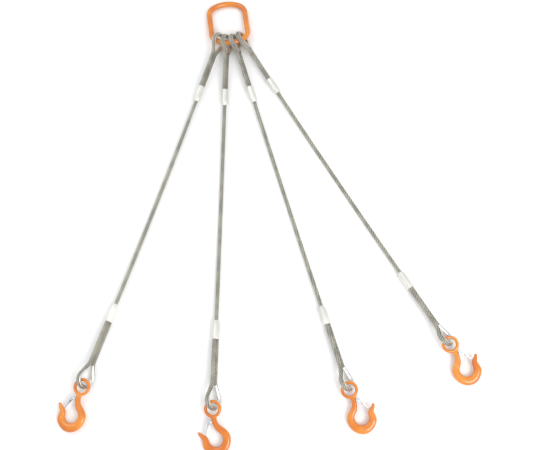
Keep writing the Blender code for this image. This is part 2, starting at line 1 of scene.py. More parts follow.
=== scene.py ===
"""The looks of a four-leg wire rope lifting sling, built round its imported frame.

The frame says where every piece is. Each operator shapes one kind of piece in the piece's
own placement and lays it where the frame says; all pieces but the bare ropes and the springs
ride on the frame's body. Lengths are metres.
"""
import json
import math
import types

import bmesh
import bpy
import numpy as np
from bpy.props import FloatProperty, FloatVectorProperty, IntProperty, PointerProperty
from mathutils import Matrix, Vector

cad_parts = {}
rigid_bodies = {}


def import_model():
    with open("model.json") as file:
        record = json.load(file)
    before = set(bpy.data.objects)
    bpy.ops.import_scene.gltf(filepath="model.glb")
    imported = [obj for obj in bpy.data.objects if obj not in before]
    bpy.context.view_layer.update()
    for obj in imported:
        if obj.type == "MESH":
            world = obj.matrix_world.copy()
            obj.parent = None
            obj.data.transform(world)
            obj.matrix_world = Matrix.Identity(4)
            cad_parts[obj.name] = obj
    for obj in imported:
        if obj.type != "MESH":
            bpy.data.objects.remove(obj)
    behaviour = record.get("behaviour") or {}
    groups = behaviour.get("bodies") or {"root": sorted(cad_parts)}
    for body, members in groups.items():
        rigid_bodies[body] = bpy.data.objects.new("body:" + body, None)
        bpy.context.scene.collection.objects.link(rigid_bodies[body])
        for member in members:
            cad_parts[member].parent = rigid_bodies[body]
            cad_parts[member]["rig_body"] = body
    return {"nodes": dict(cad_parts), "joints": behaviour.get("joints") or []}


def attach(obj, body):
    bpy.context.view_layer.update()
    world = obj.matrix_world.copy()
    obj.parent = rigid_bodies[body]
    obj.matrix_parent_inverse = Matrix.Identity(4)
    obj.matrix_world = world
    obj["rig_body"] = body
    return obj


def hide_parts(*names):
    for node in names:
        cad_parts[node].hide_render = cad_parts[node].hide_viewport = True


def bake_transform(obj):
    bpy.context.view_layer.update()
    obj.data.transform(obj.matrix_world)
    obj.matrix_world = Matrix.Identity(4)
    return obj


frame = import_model()

bl_info = {
    "name": "Wire Rope Sling",
    "version": (1, 0, 0),
    "blender": (4, 5, 0),
    "location": "3D View > Sidebar > Sling",
    "description": "Builds the finished pieces of a four-leg wire rope sling on its frame",
    "category": "Object",
}

JOINTS = {joint["name"]: joint for joint in frame["joints"]}
LEGS = range(1, 1 + sum(name.endswith("_swing") for name in JOINTS))
ENDS = ("upper", "lower")

# hook: bowl angle in degrees, half width in its plane and half depth across it
BOWL_STATIONS = ((55, 0.0064, 0.0056), (0, 0.0077, 0.0064), (-80, 0.0088, 0.0068),
                 (-140, 0.0079, 0.0064), (-177, 0.0064, 0.0054))
BOWL_STEPS = 68
NECK_ROOT = (0.0062, 0.0034)     # half width and half depth
NECK_WAIST = (0.0050, 0.0050)
NECK_WAIST_SHARE = 0.8           # of the neck, over which it is drawn in
NECK_PULL = 0.010
NECK_STEPS = 18
TIP_POINT = Vector((-0.0310, -0.0422))
TIP_AIM = 114.0
TIP_SIZE = (0.0027, 0.0030)
TIP_PULL = 0.0075
TIP_ROUND = 0.0020
TIP_STEPS = 14
LATCH_PIVOT = Vector((-0.0071, -0.0245))
HOOK_VOXEL = 0.0006
HOOK_SMOOTHING = 8

# thimble
POINT_STEPS = 14                 # points on each straight side
POINT_TURN = 26.0                # degrees by which the trough closes at its point
POINT_SHARE = 6                  # the trough narrows over this part of its length at each end
WALL_POINTS = 22
LIP_POINTS = 6

# rope near its ferrule, and how finely its route is drawn
ROPE_HALF_POINTS = 30
ROPE_INTO_FERRULE = 0.0025
ROPE_INTO_NOSE = 0.0009
PINCH_LENGTH = 0.009
PINCH = 0.93                     # thickness left where the ferrule grips
DRAW_IN = 0.112                  # share by which the two parts close up at the ferrule
CROWN_LEAD = 0.001               # straight before the crown begins
STRAIGHT_STEPS = 12
STRAND_POINTS = 10               # of one strand's outline

# ferrule
HUB_RADIUS = 0.0004              # flat in the middle of each end
MOUTH_DEPTH = 0.0012             # of the dish round the two parts of the rope
MOUTH_SHOULDER = 0.0010
MOUTH_RIM = 0.0002
NOSE_DEPTH = 0.0008
ROPE_ROOM = 0.0002               # between the nose's mouth and the rope
EDGE_ANGLES = (0.2, 0.6, 1.0, 1.4)
NOSE_ANGLES = (0.4, 0.8, 1.2, 1.55)
BARREL_STEPS = 6
TAPER_STEPS = 12
FERRULE_SIDES = 72
DIE_RIDGE = 0.00012

# latch, rivet and fine marks
NOSE_TURN = math.radians(70)
EAR_TURN = math.radians(200)
RIB_END = 0.0002                 # radius of the rib's ends
RIB_RISE = 0.001                 # length over which the rib rises and falls
RIB_SHORT = 0.003                # rib stops this far before the nose's round
RIB_SUNK = 0.0003                # rib's middle below the tongue's face
RIB_SIDES = 16
LATCH_VOXEL = 0.00026
LATCH_SMOOTHING = 3
DOME_ANGLES = (0.0, 0.25, 0.6, 0.95, 1.25, 1.5)
RIVET_SIDES = 32
RUB_DEPTH = 0.0022               # rubbed marks fade out this far from a bearing face
SHARP_EDGE = math.radians(50)
SHARP_LIP = math.radians(60)

# colours of marks, and the floor
SCUFFED_PAINT = (1.0, 0.42, 0.13, 1.0)
BARE_STEEL = (0.30, 0.29, 0.28, 1.0)
FLOOR_SIZE = 6.0
FLOOR_DROP = 0.0002


# ---- sizes and finishes that can be set -----------------------------------------------------

def length(name, default, description):
    """A length that can be set, in metres."""
    return FloatProperty(name=name, description=description, default=default, min=0.0,
                         precision=5, subtype="DISTANCE", unit="LENGTH")


def turn(name, degrees, description):
    """An angle that can be set."""
    return FloatProperty(name=name, description=description, default=math.radians(degrees),
                         subtype="ANGLE", unit="ROTATION")


def colour(name, default, description):
    """A colour that can be set."""
    return FloatVectorProperty(name=name, description=description, default=default, size=3,
                               min=0.0, max=1.0, subtype="COLOR")


def share(name, default, description):
    """A share from 0 to 1 that can be set."""
    return FloatProperty(name=name, description=description, default=default, min=0.0,
                         max=1.0, subtype="FACTOR")


class SlingSizes(bpy.types.PropertyGroup):
    """Sizes of the pieces, the same as the frame was made with."""

    link_length: length("Link Length", 0.100, "Master link, inside, from end to end")
    link_bar_d: length("Link Bar", 0.0125, "Diameter of the master link's bar")
    link_end_radius: length("Link End Radius", 0.059, "Centreline of the arched ends")
    link_side_room: length("Link Side Room", 0.0142, "Outermost eye to the side bar's middle")
    link_end_margin: turn("Link End Margin", 2.0, "Arched end past the outermost eye")
    rope_d: length("Rope", 0.008, "Diameter of the wire rope")
    rope_strands: IntProperty(name="Strands", description="Strands in the rope", default=6,
                              min=3, max=12)
    rope_wires: IntProperty(name="Wires", default=54, min=12, max=120,
                            description="Outer wires that would go round the rope")
    rope_lay: length("Rope Lay", 0.050, "Length of one full turn of a strand")
    rope_step: length("Rope Step", 0.0013, "Between the rope's rings of points")
    eye_length: length("Eye Length", 0.130, "Thimble's bearing face to the ferrule")
    eye_fillet: length("Eye Fillet", 0.022, "Bend where the rope's two parts run together")
    eye_spacing: length("Eye Spacing", 0.0187, "Between neighbouring eyes along the link")
    crown_radius: length("Thimble Radius", 0.011, "Inside the thimble's crown")
    thimble_half_angle: turn("Thimble Point", 24.0, "Half the angle of the thimble's point")
    thimble_wall: length("Thimble Wall", 0.0011, "Thickness of the thimble's sheet")
    thimble_lip: length("Thimble Lip", 0.0012, "Sides of the trough past the rope's middle")
    ferrule_d: length("Ferrule", 0.0158, "Diameter of the pressed ferrule")
    ferrule_length: length("Ferrule Length", 0.039, "From end to end")
    ferrule_taper: length("Ferrule Taper", 0.009, "Length of the tapered nose")
    ferrule_nose_d: length("Ferrule Nose", 0.0116, "Diameter where the single rope leaves")
    ferrule_edge: length("Ferrule Edge", 0.0009, "Rounding of the ferrule's edges")
    hook_clearance: length("Hook Clearance", 0.0054, "Round the thimble in the hook's eye")
    hook_ring_width: length("Eye Ring Width", 0.0031, "Half width of the hook's eye ring")
    hook_ring_depth: length("Eye Ring Depth", 0.0039, "Half depth of the hook's eye ring")
    hook_reach: length("Hook Reach", 0.057, "Eye centre to bowl centre")
    hook_bowl_radius: length("Hook Bowl", 0.0135, "Inside radius of the bowl")
    hook_seat_offset: length("Hook Seat", 0.0005, "Eye centre past the rope's centreline")
    latch_length: length("Latch Length", 0.0260, "Pivot to the latch's nose")
    latch_aim: turn("Latch Direction", -109.2, "From the hook's X axis to the latch's nose")
    latch_width: length("Latch Width", 0.0124, "Over the outside of the ears")
    latch_nose_width: length("Latch Nose", 0.0084, "Width of the latch's nose")
    latch_sheet: length("Latch Sheet", 0.0013, "Thickness of the latch's sheet")
    latch_rib: length("Latch Rib", 0.0009, "Radius of the rib pressed along the latch")
    pin_d: length("Pin", 0.0030, "Diameter of the latch's rivet")
    pin_head_d: length("Pin Head", 0.0050, "Diameter of the rivet's heads")
    pin_head_height: length("Pin Head Height", 0.0009, "Height of the rivet's heads")
    lug_width: length("Lug Width", 0.0044, "Hook's lug between the ears")
    spring_wire_d: length("Spring Wire", 0.0008, "Diameter of the spring's wire")
    spring_turns: FloatProperty(name="Spring Turns", description="Turns of the spring's coil",
                                default=3.25, min=1.0)
    spring_radius: length("Spring Radius", 0.0025, "Centreline of the spring's coil")
    spring_fixed_leg: length("Spring Fixed Leg", 0.0040, "Leg that bears on the neck")
    spring_moving_leg: length("Spring Moving Leg", 0.0110, "Leg that bears on the latch")
    touch_gap: length("Touch Gap", 0.0003, "Between pieces that touch")
    trough_gap: length("Trough Gap", 0.0004, "Between the rope and its thimble")
    pin_gap: length("Pin Gap", 0.0003, "Round the rivet")


class SlingFinishes(bpy.types.PropertyGroup):
    """Colours and finishes of the pieces."""

    paint: colour("Paint", (0.73, 0.245, 0.021), "Baked coat of the link and the hooks")
    # painted shade: the coat's orange as it looks in shade, mixed in random patches over the lit
    # orange
    paint_in_shade: colour("Paint Shade", (0.60, 0.150, 0.009), "Thicker or shaded paint")
    paint_peel: share("Orange Peel", 0.10, "Unevenness of the paint's surface")
    wear: share("Wear", 0.35, "Rubbed paint and metal where pieces bear on each other")
    rope_zinc: colour("Rope Zinc", (0.58, 0.555, 0.47), "Galvanised wires on the crowns")
    # dark grease and painted shade in the grooves between the strands and between the wires
    rope_grease_and_shade: colour("Rope Grease", (0.060, 0.056, 0.040), "Between the strands")
    thimble_zinc: colour("Thimble Zinc", (0.74, 0.74, 0.71), "Bright plated thimble")
    aluminium: colour("Aluminium", (0.80, 0.785, 0.73), "Pressed ferrule")
    latch_zinc: colour("Latch Zinc", (0.66, 0.71, 0.76), "Blue-white plated latch")
    spring_steel: colour("Spring Steel", (0.30, 0.30, 0.31), "Drawn spring wire")
    floor: colour("Floor", (0.93, 0.93, 0.925), "Plain pale floor")


class SlingStage(bpy.types.PropertyGroup):
    """Where the camera stands and how strong the lights are."""

    azimuth: turn("Azimuth", -7.36, "Camera round the sling")
    elevation: turn("Elevation", 69.63, "Camera above the floor")
    distance: length("Distance", 1.702, "Camera to the point that it looks at")
    aim: FloatVectorProperty(name="Aim", description="Point that the camera looks at",
                             default=(0.0428, -0.0538, 0.0), subtype="XYZ", unit="LENGTH")
    lens: FloatProperty(name="Lens", description="Focal length in millimetres", default=54.0,
                        min=10.0)
    sky: FloatProperty(name="Sky", description="Strength of the light from all round",
                       default=0.85, min=0.0)
    key: FloatProperty(name="Key Light", description="Power of the large front light",
                       default=34.0, min=0.0)
    fill: FloatProperty(name="Fill Light", description="Power of the light from behind",
                        default=16.0, min=0.0)


def sizes():
    """The sizes that can be set, and those worked out from them."""
    group = bpy.context.scene.sling_sizes
    s = types.SimpleNamespace(**{key: getattr(group, key) for key in SlingSizes.__annotations__})
    s.rope_r = s.rope_d / 2
    s.trough_inner = s.rope_r + s.trough_gap
    s.trough_outer = s.trough_inner + s.thimble_wall
    s.loop_radius = s.crown_radius + s.trough_outer
    s.strand_offset = s.rope_r + s.touch_gap / 2
    s.crown_to_ferrule = s.eye_length - s.crown_radius
    s.eye_hole = s.trough_outer + s.hook_clearance
    s.eye_ring = s.eye_hole + s.hook_ring_width
    s.latch_inside = s.latch_width / 2 - s.latch_sheet
    s.tongue_inside = s.spring_radius + s.spring_wire_d / 2 + s.touch_gap
    s.ear_radius = s.tongue_inside + s.latch_sheet
    return s


# ---- places read from the frame -------------------------------------------------------------

def point_of(joint):
    return Vector(JOINTS[joint]["pos_m"])


def placement(origin, x, z):
    """X along x, and Z as near to z as that allows."""
    x = x.normalized()
    z = (z - x * z.dot(x)).normalized()
    matrix = Matrix((x, z.cross(x), z)).transposed().to_4x4()
    matrix.translation = origin
    return matrix


def surface_of(node):
    """Centre of a node's surface, and its long, middle and short directions."""
    mesh = frame["nodes"][node].data
    places = np.array([v.co for v in mesh.vertices])
    corners = places[np.array([tuple(p.vertices) for p in mesh.polygons])]
    sides = corners[:, 1:] - corners[:, :1]
    area = np.linalg.norm(np.cross(sides[:, 0], sides[:, 1]), axis=1)
    centre = (corners.mean(1) * area[:, None]).sum(0) / area.sum()
    corners = corners - centre
    middle = corners.sum(1)
    spread = (np.einsum("nij,nik,n->jk", corners, corners, area)
              + np.einsum("nj,nk,n->jk", middle, middle, area))
    axes = np.linalg.eigh(spread)[1]
    return Vector(centre), [Vector(axes[:, k]) for k in (2, 1, 0)]


def eye_place(leg, end, s):
    """Origin in the thimble's crown, X towards the ferrule, Z across the eye."""
    thimble, (_, _, across) = surface_of(f"leg_{leg}_{end}_thimble")
    ferrule, _ = surface_of(f"leg_{leg}_{end}_ferrule")
    x = (ferrule - thimble).normalized()
    if end == "upper":
        return placement(point_of(f"leg_{leg}_swing"), x, across)
    crown = point_of(f"hook_{leg}_pivot") + x * (s.loop_radius + s.hook_seat_offset)
    return placement(crown, x, across)


def link_place():
    """Origin in the middle of the link, Y towards its far end, Z across it."""
    centre, (long, wide, across) = surface_of("master_link")
    wide = wide if wide.x > 0 else -wide
    across = across if across.z > 0 else -across
    return placement(centre, wide, across)


def hook_place(leg):
    """Origin in the hook's eye, Z along its pivot, turned so that the latch's pivot fits."""
    joint = JOINTS[f"hook_{leg}_pivot"]
    eye, z = Vector(joint["pos_m"]), Vector(joint["axis"])
    to_latch = point_of(f"hook_{leg}_latch_hinge") - eye
    turned = math.atan2(LATCH_PIVOT.y, LATCH_PIVOT.x)
    return placement(eye, Matrix.Rotation(-turned, 3, z) @ to_latch, z)


def latch_place(leg, s):
    """Origin on the latch's pivot and X along the latch."""
    turned = Matrix.Rotation(s.latch_aim, 4, "Z")
    return hook_place(leg) @ Matrix.Translation((*LATCH_PIVOT, 0)) @ turned


# ---- outlines -------------------------------------------------------------------------------

def direction(degrees):
    return Vector((math.cos(math.radians(degrees)), math.sin(math.radians(degrees))))


def smoothstep(t):
    t = min(1.0, max(0.0, t))
    return t * t * (3 - 2 * t)


def arc(centre, radius, start, end, step=4.0, count=None):
    """Points from angle start to angle end, both kept, step degrees apart or count of them."""
    count = count or max(1, math.ceil(abs(end - start) / math.radians(step) - 1e-6))
    angles = [start + (end - start) * k / count for k in range(count + 1)]
    return [Vector((centre[0] + radius * math.cos(a), centre[1] + radius * math.sin(a)))
            for a in angles]


def bezier(p0, p1, p2, p3, steps):
    """Points on a cubic curve, without its last one."""
    points = []
    for k in range(steps):
        t, u = k / steps, 1 - k / steps
        points.append(u ** 3 * p0 + 3 * u * u * t * p1 + 3 * u * t * t * p2 + t ** 3 * p3)
    return points


def rounded_section(half_x, half_y, squareness=2.35, sides=40):
    """An ellipse with slightly filled-out corners."""
    power = 2 / squareness
    points = []
    for k in range(sides):
        c, d = math.cos(2 * math.pi * k / sides), math.sin(2 * math.pi * k / sides)
        points.append((math.copysign(abs(c) ** power, c) * half_x,
                       math.copysign(abs(d) ** power, d) * half_y))
    return points


def loop_flank(s):
    """Where the eye's flank leaves the crown, and its direction."""
    half = s.thimble_half_angle
    start = Vector((math.sin(half), math.cos(half))) * s.loop_radius
    return start, Vector((math.cos(half), -math.sin(half)))


def mirrored_loop(flank, s):
    """A whole loop: one flank, the crown and the flank mirrored."""
    first = math.pi / 2 - s.thimble_half_angle
    crown = arc((0, 0), s.loop_radius, first, 2 * math.pi - first)
    return flank + crown + [Vector((p.x, -p.y)) for p in reversed(flank)]


def thimble_path(s):
    """The rope's centreline over the stretch that the thimble covers."""
    start, along = loop_flank(s)
    half = s.thimble_half_angle
    room = (s.loop_radius - s.trough_outer) * math.cos(half) - s.touch_gap
    reach = room / math.sin(half)
    straight = [start + along * reach * (1 - k / POINT_STEPS) for k in range(POINT_STEPS)]
    return mirrored_loop(straight, s)


def eye_rope_path(s):
    """The rope's centreline from inside the ferrule, round the eye, and back."""
    start, along = loop_flank(s)
    half = s.thimble_half_angle
    corner = start + along * ((start.y - s.strand_offset) / math.sin(half))
    centre = (corner.x + s.eye_fillet * math.tan(half / 2), s.strand_offset + s.eye_fillet)
    bend = arc(centre, s.eye_fillet, -math.pi / 2, -math.pi / 2 - half)
    straight = []
    for k in range(STRAIGHT_STEPS):
        x = s.crown_to_ferrule + ROPE_INTO_FERRULE
        x += (bend[0].x - x) * k / STRAIGHT_STEPS
        pinch = smoothstep((x - s.crown_to_ferrule + PINCH_LENGTH) / PINCH_LENGTH)
        straight.append(Vector((x, s.strand_offset * (1 - DRAW_IN * pinch))))
    return mirrored_loop(straight + bend + [start + along * CROWN_LEAD], s)


def link_path(s):
    """The master link's centreline, all the way round."""
    legs = len(LEGS)
    outer = s.eye_spacing / s.link_end_radius * (legs - 1) / 2
    end = outer + s.link_end_margin
    length_between = s.link_length + s.link_bar_d
    half_width = s.link_end_radius * math.sin(outer) + s.link_side_room
    corner_radius = ((half_width - s.link_end_radius * math.sin(end)) / (1 - math.sin(end)))
    quarter = math.pi / 2
    ends = [arc((0, side * (length_between / 2 - s.link_end_radius)), s.link_end_radius,
                side * quarter - end, side * quarter + end) for side in (-1, 1)]
    reach = s.link_end_radius - corner_radius
    x = reach * math.sin(end)
    y = length_between / 2 - s.link_end_radius + reach * math.cos(end)
    bend = quarter - end
    corners = [arc((cx, cy), corner_radius, first, first + bend) for cx, cy, first in (
        (x, -y, -bend), (x, y, 0), (-x, y, math.pi - bend), (-x, -y, math.pi))]
    path = (ends[0] + corners[0][1:] + corners[1][:-1]
            + ends[1] + corners[2][1:] + corners[3][:-1])
    return [(p.x, p.y, 0) for p in path]


def bare_rope_points(leg, s):
    """The bare rope's centreline: a shallow sag to the floor between its two ferrules."""
    nose = Vector((s.crown_to_ferrule + s.ferrule_length, 0, 0))
    top, bottom = (eye_place(leg, end, s) @ nose for end in ENDS)
    third = point_of(f"leg_{leg}_lift").z
    low = (9 * third - top.z) / 8        # a third of the way along, a ninth of the rise is left
    points = []
    for k in range(2 * ROPE_HALF_POINTS + 1):
        t = k / (2 * ROPE_HALF_POINTS)
        point = top.lerp(bottom, t)
        point.z = low + ((top if t < 0.5 else bottom).z - low) * (1 - 2 * t) ** 2
        points.append(point)
    return points


def spring_points(s):
    """The wire's centreline: a leg to the neck, the coil and a leg under the latch."""
    low = -s.latch_inside + s.touch_gap + s.spring_wire_d / 2
    rise = 2 * s.latch_inside - s.lug_width - 3 * s.touch_gap - s.spring_wire_d
    end = s.latch_aim - math.pi / 2
    start = end - 2 * math.pi * s.spring_turns
    steps = round(28 * s.spring_turns)
    coil = []
    for k in range(steps + 1):
        a = start + (end - start) * k / steps
        coil.append(Vector((s.spring_radius * math.cos(a), s.spring_radius * math.sin(a),
                            low + rise * k / steps)))
    to_neck = Vector((math.sin(start), -math.cos(start), 0))
    to_nose = Vector((math.cos(s.latch_aim), math.sin(s.latch_aim), 0))
    return ([coil[0] + to_neck * s.spring_fixed_leg] + coil
            + [coil[-1] + to_nose * s.spring_moving_leg])


def bowl_size(degrees):
    """Half width and half depth at a bowl angle, eased between the stations."""
    for (a0, w0, d0), (a1, w1, d1) in zip(BOWL_STATIONS, BOWL_STATIONS[1:]):
        if degrees >= a1:
            t = smoothstep((a0 - degrees) / (a0 - a1))
            return w0 + (w1 - w0) * t, d0 + (d1 - d0) * t
    return BOWL_STATIONS[-1][1:]


def hook_spine(s):
    """Points down the neck, round the bowl and out to the tip, with their half sizes."""
    def bowl_point(degrees):
        offset = direction(degrees) * (s.hook_bowl_radius + bowl_size(degrees)[0])
        return Vector((0, -s.hook_reach)) + offset

    first, last = BOWL_STATIONS[0][0], BOWL_STATIONS[-1][0]
    root, shoulder = Vector((0, -s.eye_ring)), bowl_point(first)
    points = bezier(root, root - Vector((0, NECK_PULL)),
                    shoulder - direction(first - 90) * NECK_PULL, shoulder, NECK_STEPS)
    halves = []
    for k in range(NECK_STEPS):
        t = k / NECK_STEPS
        waist = math.sin(math.pi * min(1.0, t / NECK_WAIST_SHARE))
        plain = [a + (b - a) * t for a, b in zip(NECK_ROOT, BOWL_STATIONS[0][1:])]
        halves.append([p + (w - p) * waist for p, w in zip(plain, NECK_WAIST)])
    for k in range(BOWL_STEPS):
        degrees = first + (last - first) * k / BOWL_STEPS
        points.append(bowl_point(degrees))
        halves.append(bowl_size(degrees))
    heel, aim = bowl_point(last), direction(TIP_AIM)
    points += bezier(heel, heel + direction(last - 90) * TIP_PULL, TIP_POINT - aim * TIP_PULL,
                     TIP_POINT, TIP_STEPS)
    for k in range(TIP_STEPS):
        t = k / TIP_STEPS
        halves.append([a + (b - a) * t for a, b in zip(BOWL_STATIONS[-1][1:], TIP_SIZE)])
    for rise in (0, 30, 60, 80):
        c, d = direction(rise)
        points.append(TIP_POINT + aim * TIP_ROUND * d)
        halves.append([half * c for half in TIP_SIZE])
    return points, halves


# ---- meshes ---------------------------------------------------------------------------------

def closed_mesh(name, bm):
    """A mesh from a closed bmesh, faces pointing out and shaded smooth."""
    bmesh.ops.recalc_face_normals(bm, faces=bm.faces)
    mesh = bpy.data.meshes.new(name)
    bm.to_mesh(mesh)
    bm.free()
    mesh.shade_smooth()
    return mesh


def bridged(name, rings, closed=False):
    """Skin a row of rings of points, with a cap on each end unless it closes on itself."""
    bm = bmesh.new()
    rings = [[bm.verts.new(p) for p in ring] for ring in rings]
    for ring, following in zip(rings, rings[1:] + (rings[:1] if closed else [])):
        for j in range(len(ring)):
            i = (j + 1) % len(ring)
            bm.faces.new((ring[j], ring[i], following[i], following[j]))
    if not closed:
        bm.faces.new(rings[0])
        bm.faces.new(rings[-1])
    return closed_mesh(name, bm)


def swept(name, path, sections, closed=False):
    """Sweep sections along a path in the XY plane. Section X points to the path's right."""
    count = len(path)
    rings = []
    for k, point in enumerate(path):
        before = path[k - 1] if closed or k else point
        after = path[(k + 1) % count] if closed or k + 1 < count else point
        along = ((point - before).normalized() + (after - point).normalized()).normalized()
        right = Vector((along.y, -along.x))
        rings.append([(*(point + right * x), z) for x, z in sections[k]])
    return bridged(name, rings, closed)


def turned(name, profile, sides, ridge=0.0):
    """Turn (length, radius) points about X. A ridge stands on two opposite sides."""
    rings = []
    for x, radius in profile:
        ring = []
        for k in range(sides):
            a = 2 * math.pi * k / sides
            r = radius + (ridge if k % (sides // 2) == 0 else 0.0)
            ring.append((x, r * math.sin(a), r * math.cos(a)))
        rings.append(ring)
    return bridged(name, rings)


def plate(name, outline, low, high):
    """A flat plate: an outline in the XY plane, from height low to height high."""
    return bridged(name, [[(p[0], p[1], z) for p in outline] for z in (low, high)])


def modified(name, mesh, modifiers, helpers=()):
    """The mesh after some modifiers, given as (kind, settings); helpers are then removed."""
    body = bpy.data.objects.new(name, mesh)
    bpy.context.scene.collection.objects.link(body)
    for kind, settings in modifiers:
        modifier = body.modifiers.new(kind, kind)
        for key, value in settings.items():
            setattr(modifier, key, value)
    graph = bpy.context.evaluated_depsgraph_get()
    result = bpy.data.meshes.new_from_object(body.evaluated_get(graph))
    result.name = name
    for obj in (body, *helpers):
        bpy.data.objects.remove(obj)
    return result


def fused(name, meshes, voxel, rounds):
    """Run several overlapping shells together into one skin with soft inner corners."""
    bm = bmesh.new()
    for mesh in meshes:
        bm.from_mesh(mesh)
    joined = closed_mesh(name, bm)
    result = modified(name, joined, (
        ("REMESH", {"mode": "VOXEL", "voxel_size": voxel, "use_smooth_shade": True}),
        ("SMOOTH", {"factor": 0.5, "iterations": rounds})))
    result.shade_smooth()
    return result


def drilled(name, mesh, centre, radius, reach):
    """Drill a round hole along Z right through the mesh."""
    cutter_mesh = plate(f"{name}_drill", arc(centre, radius, 0, 2 * math.pi, 9)[:-1],
                        -reach, reach)
    cutter = bpy.data.objects.new(f"{name}_drill", cutter_mesh)
    bpy.context.scene.collection.objects.link(cutter)
    result = modified(name, mesh, (
        ("BOOLEAN", {"operation": "DIFFERENCE", "object": cutter, "solver": "EXACT"}),),
        [cutter])
    result.shade_smooth()
    result.set_sharp_from_angle(angle=SHARP_EDGE)
    return result


def store(mesh, name, values):
    """Keep one number for each point, which a material reads by name."""
    attribute = mesh.attributes.new(name, "FLOAT", "POINT")
    attribute.data.foreach_set("value", np.asarray(values, np.float32))


def points_of(mesh):
    """The mesh's points, one in each row."""
    places = np.empty(len(mesh.vertices) * 3)
    mesh.vertices.foreach_get("co", places)
    return places.reshape(-1, 3)


def hook_mesh(s):
    """Eye ring, neck, bowl, tip and latch lug, run together as one forging."""
    circle = arc((0, 0), s.eye_ring, 0, 2 * math.pi, 5)[:-1]
    ring_section = rounded_section(s.hook_ring_width, s.hook_ring_depth)
    ring = swept("hook_eye", circle, [ring_section] * len(circle), closed=True)
    points, halves = hook_spine(s)
    shank = swept("hook_shank", points, [rounded_section(*half) for half in halves])
    lug_radius = s.tongue_inside - s.touch_gap
    lug_top = s.latch_inside - s.touch_gap
    outline = arc(LATCH_PIVOT, lug_radius, math.pi / 2, 3 * math.pi / 2, 10)
    outline += [Vector((0, LATCH_PIVOT.y + side * lug_radius)) for side in (-1, 1)]
    lug = plate("hook_lug", outline, lug_top - s.lug_width, lug_top)
    forged = fused("hook", [ring, shank, lug], HOOK_VOXEL, HOOK_SMOOTHING)
    made = drilled("hook", forged, LATCH_PIVOT, s.pin_d / 2 + s.pin_gap, s.latch_width)
    places = points_of(made)
    bowl = np.hypot(places[:, 0], places[:, 1] + s.hook_reach) - s.hook_bowl_radius
    eye = np.hypot(places[:, 0], places[:, 1]) - s.eye_hole
    rubbed = np.maximum(np.where(places[:, 1] < -s.hook_reach, 1 - bowl / RUB_DEPTH, 0),
                        np.where(places[:, 1] > 0, 1 - eye / RUB_DEPTH, 0))
    store(made, "contact", np.clip(rubbed, 0, 1))
    return made


def thimble_mesh(s):
    """A pressed trough with rounded lips that narrow towards the point."""
    path = thimble_path(s)
    ends = len(path) // POINT_SHARE
    sections = []
    for k in range(len(path)):
        narrow = 1 - smoothstep(min(k, len(path) - 1 - k) / ends)
        sections.append(trough_section(s, narrow))
    made = swept("thimble", path, sections)
    made.set_sharp_from_angle(angle=SHARP_LIP)
    return made


def trough_section(s, narrow):
    """The thimble's wall, cut across. Narrow is 0 for the full trough and 1 at its point."""
    middle = (s.trough_inner + s.trough_outer) / 2
    first = math.pi / 2 + narrow * math.radians(POINT_TURN)
    lip = s.thimble_lip * (1 - narrow) - s.thimble_wall / 2
    lean = Vector((math.sin(first), -math.cos(first))) * lip
    upper = Vector((math.cos(first), math.sin(first))) * middle + lean
    lower = Vector((upper.x, -upper.y))
    outside = arc((0, 0), s.trough_outer, first, 2 * math.pi - first, count=WALL_POINTS)
    inside = arc((0, 0), s.trough_inner, 2 * math.pi - first, first, count=WALL_POINTS)
    tilt = first - math.pi / 2
    half = s.thimble_wall / 2
    top = arc(upper, half, tilt - math.pi / 2, tilt + math.pi / 2, count=LIP_POINTS)
    bottom = arc(lower, half, -tilt - math.pi / 2, math.pi / 2 - tilt, count=LIP_POINTS)
    return outside + bottom[1:-1] + inside + top[1:-1]


def ferrule_mesh(s):
    """A pressed sleeve: dished mouth, faint die ridges and a nose that tapers to the rope."""
    radius, nose = s.ferrule_d / 2, s.ferrule_nose_d / 2
    edge, full = s.ferrule_edge, s.ferrule_length
    taper = full - s.ferrule_taper
    profile = [(MOUTH_DEPTH, HUB_RADIUS), (MOUTH_SHOULDER, radius - 2.4 * edge),
               (MOUTH_RIM, radius - 1.6 * edge)]
    profile += [(edge * (1 - math.cos(a)), radius - edge * (1 - math.sin(a)))
                for a in EDGE_ANGLES]
    profile += [(taper * k / BARREL_STEPS, radius) for k in range(1, BARREL_STEPS)]
    for k in range(TAPER_STEPS + 1):
        ease = smoothstep(k / TAPER_STEPS)
        profile.append((taper + (s.ferrule_taper - edge) * k / TAPER_STEPS,
                        radius + (nose - radius) * ease))
    profile += [(full - edge * (1 - math.sin(a)), nose - edge * (1 - math.cos(a)))
                for a in NOSE_ANGLES]
    profile += [(full - NOSE_DEPTH, s.rope_r + ROPE_ROOM), (full - MOUTH_DEPTH, HUB_RADIUS)]
    made = turned("ferrule", profile, FERRULE_SIDES, DIE_RIDGE)
    made.set_sharp_from_angle(angle=SHARP_EDGE)
    return made


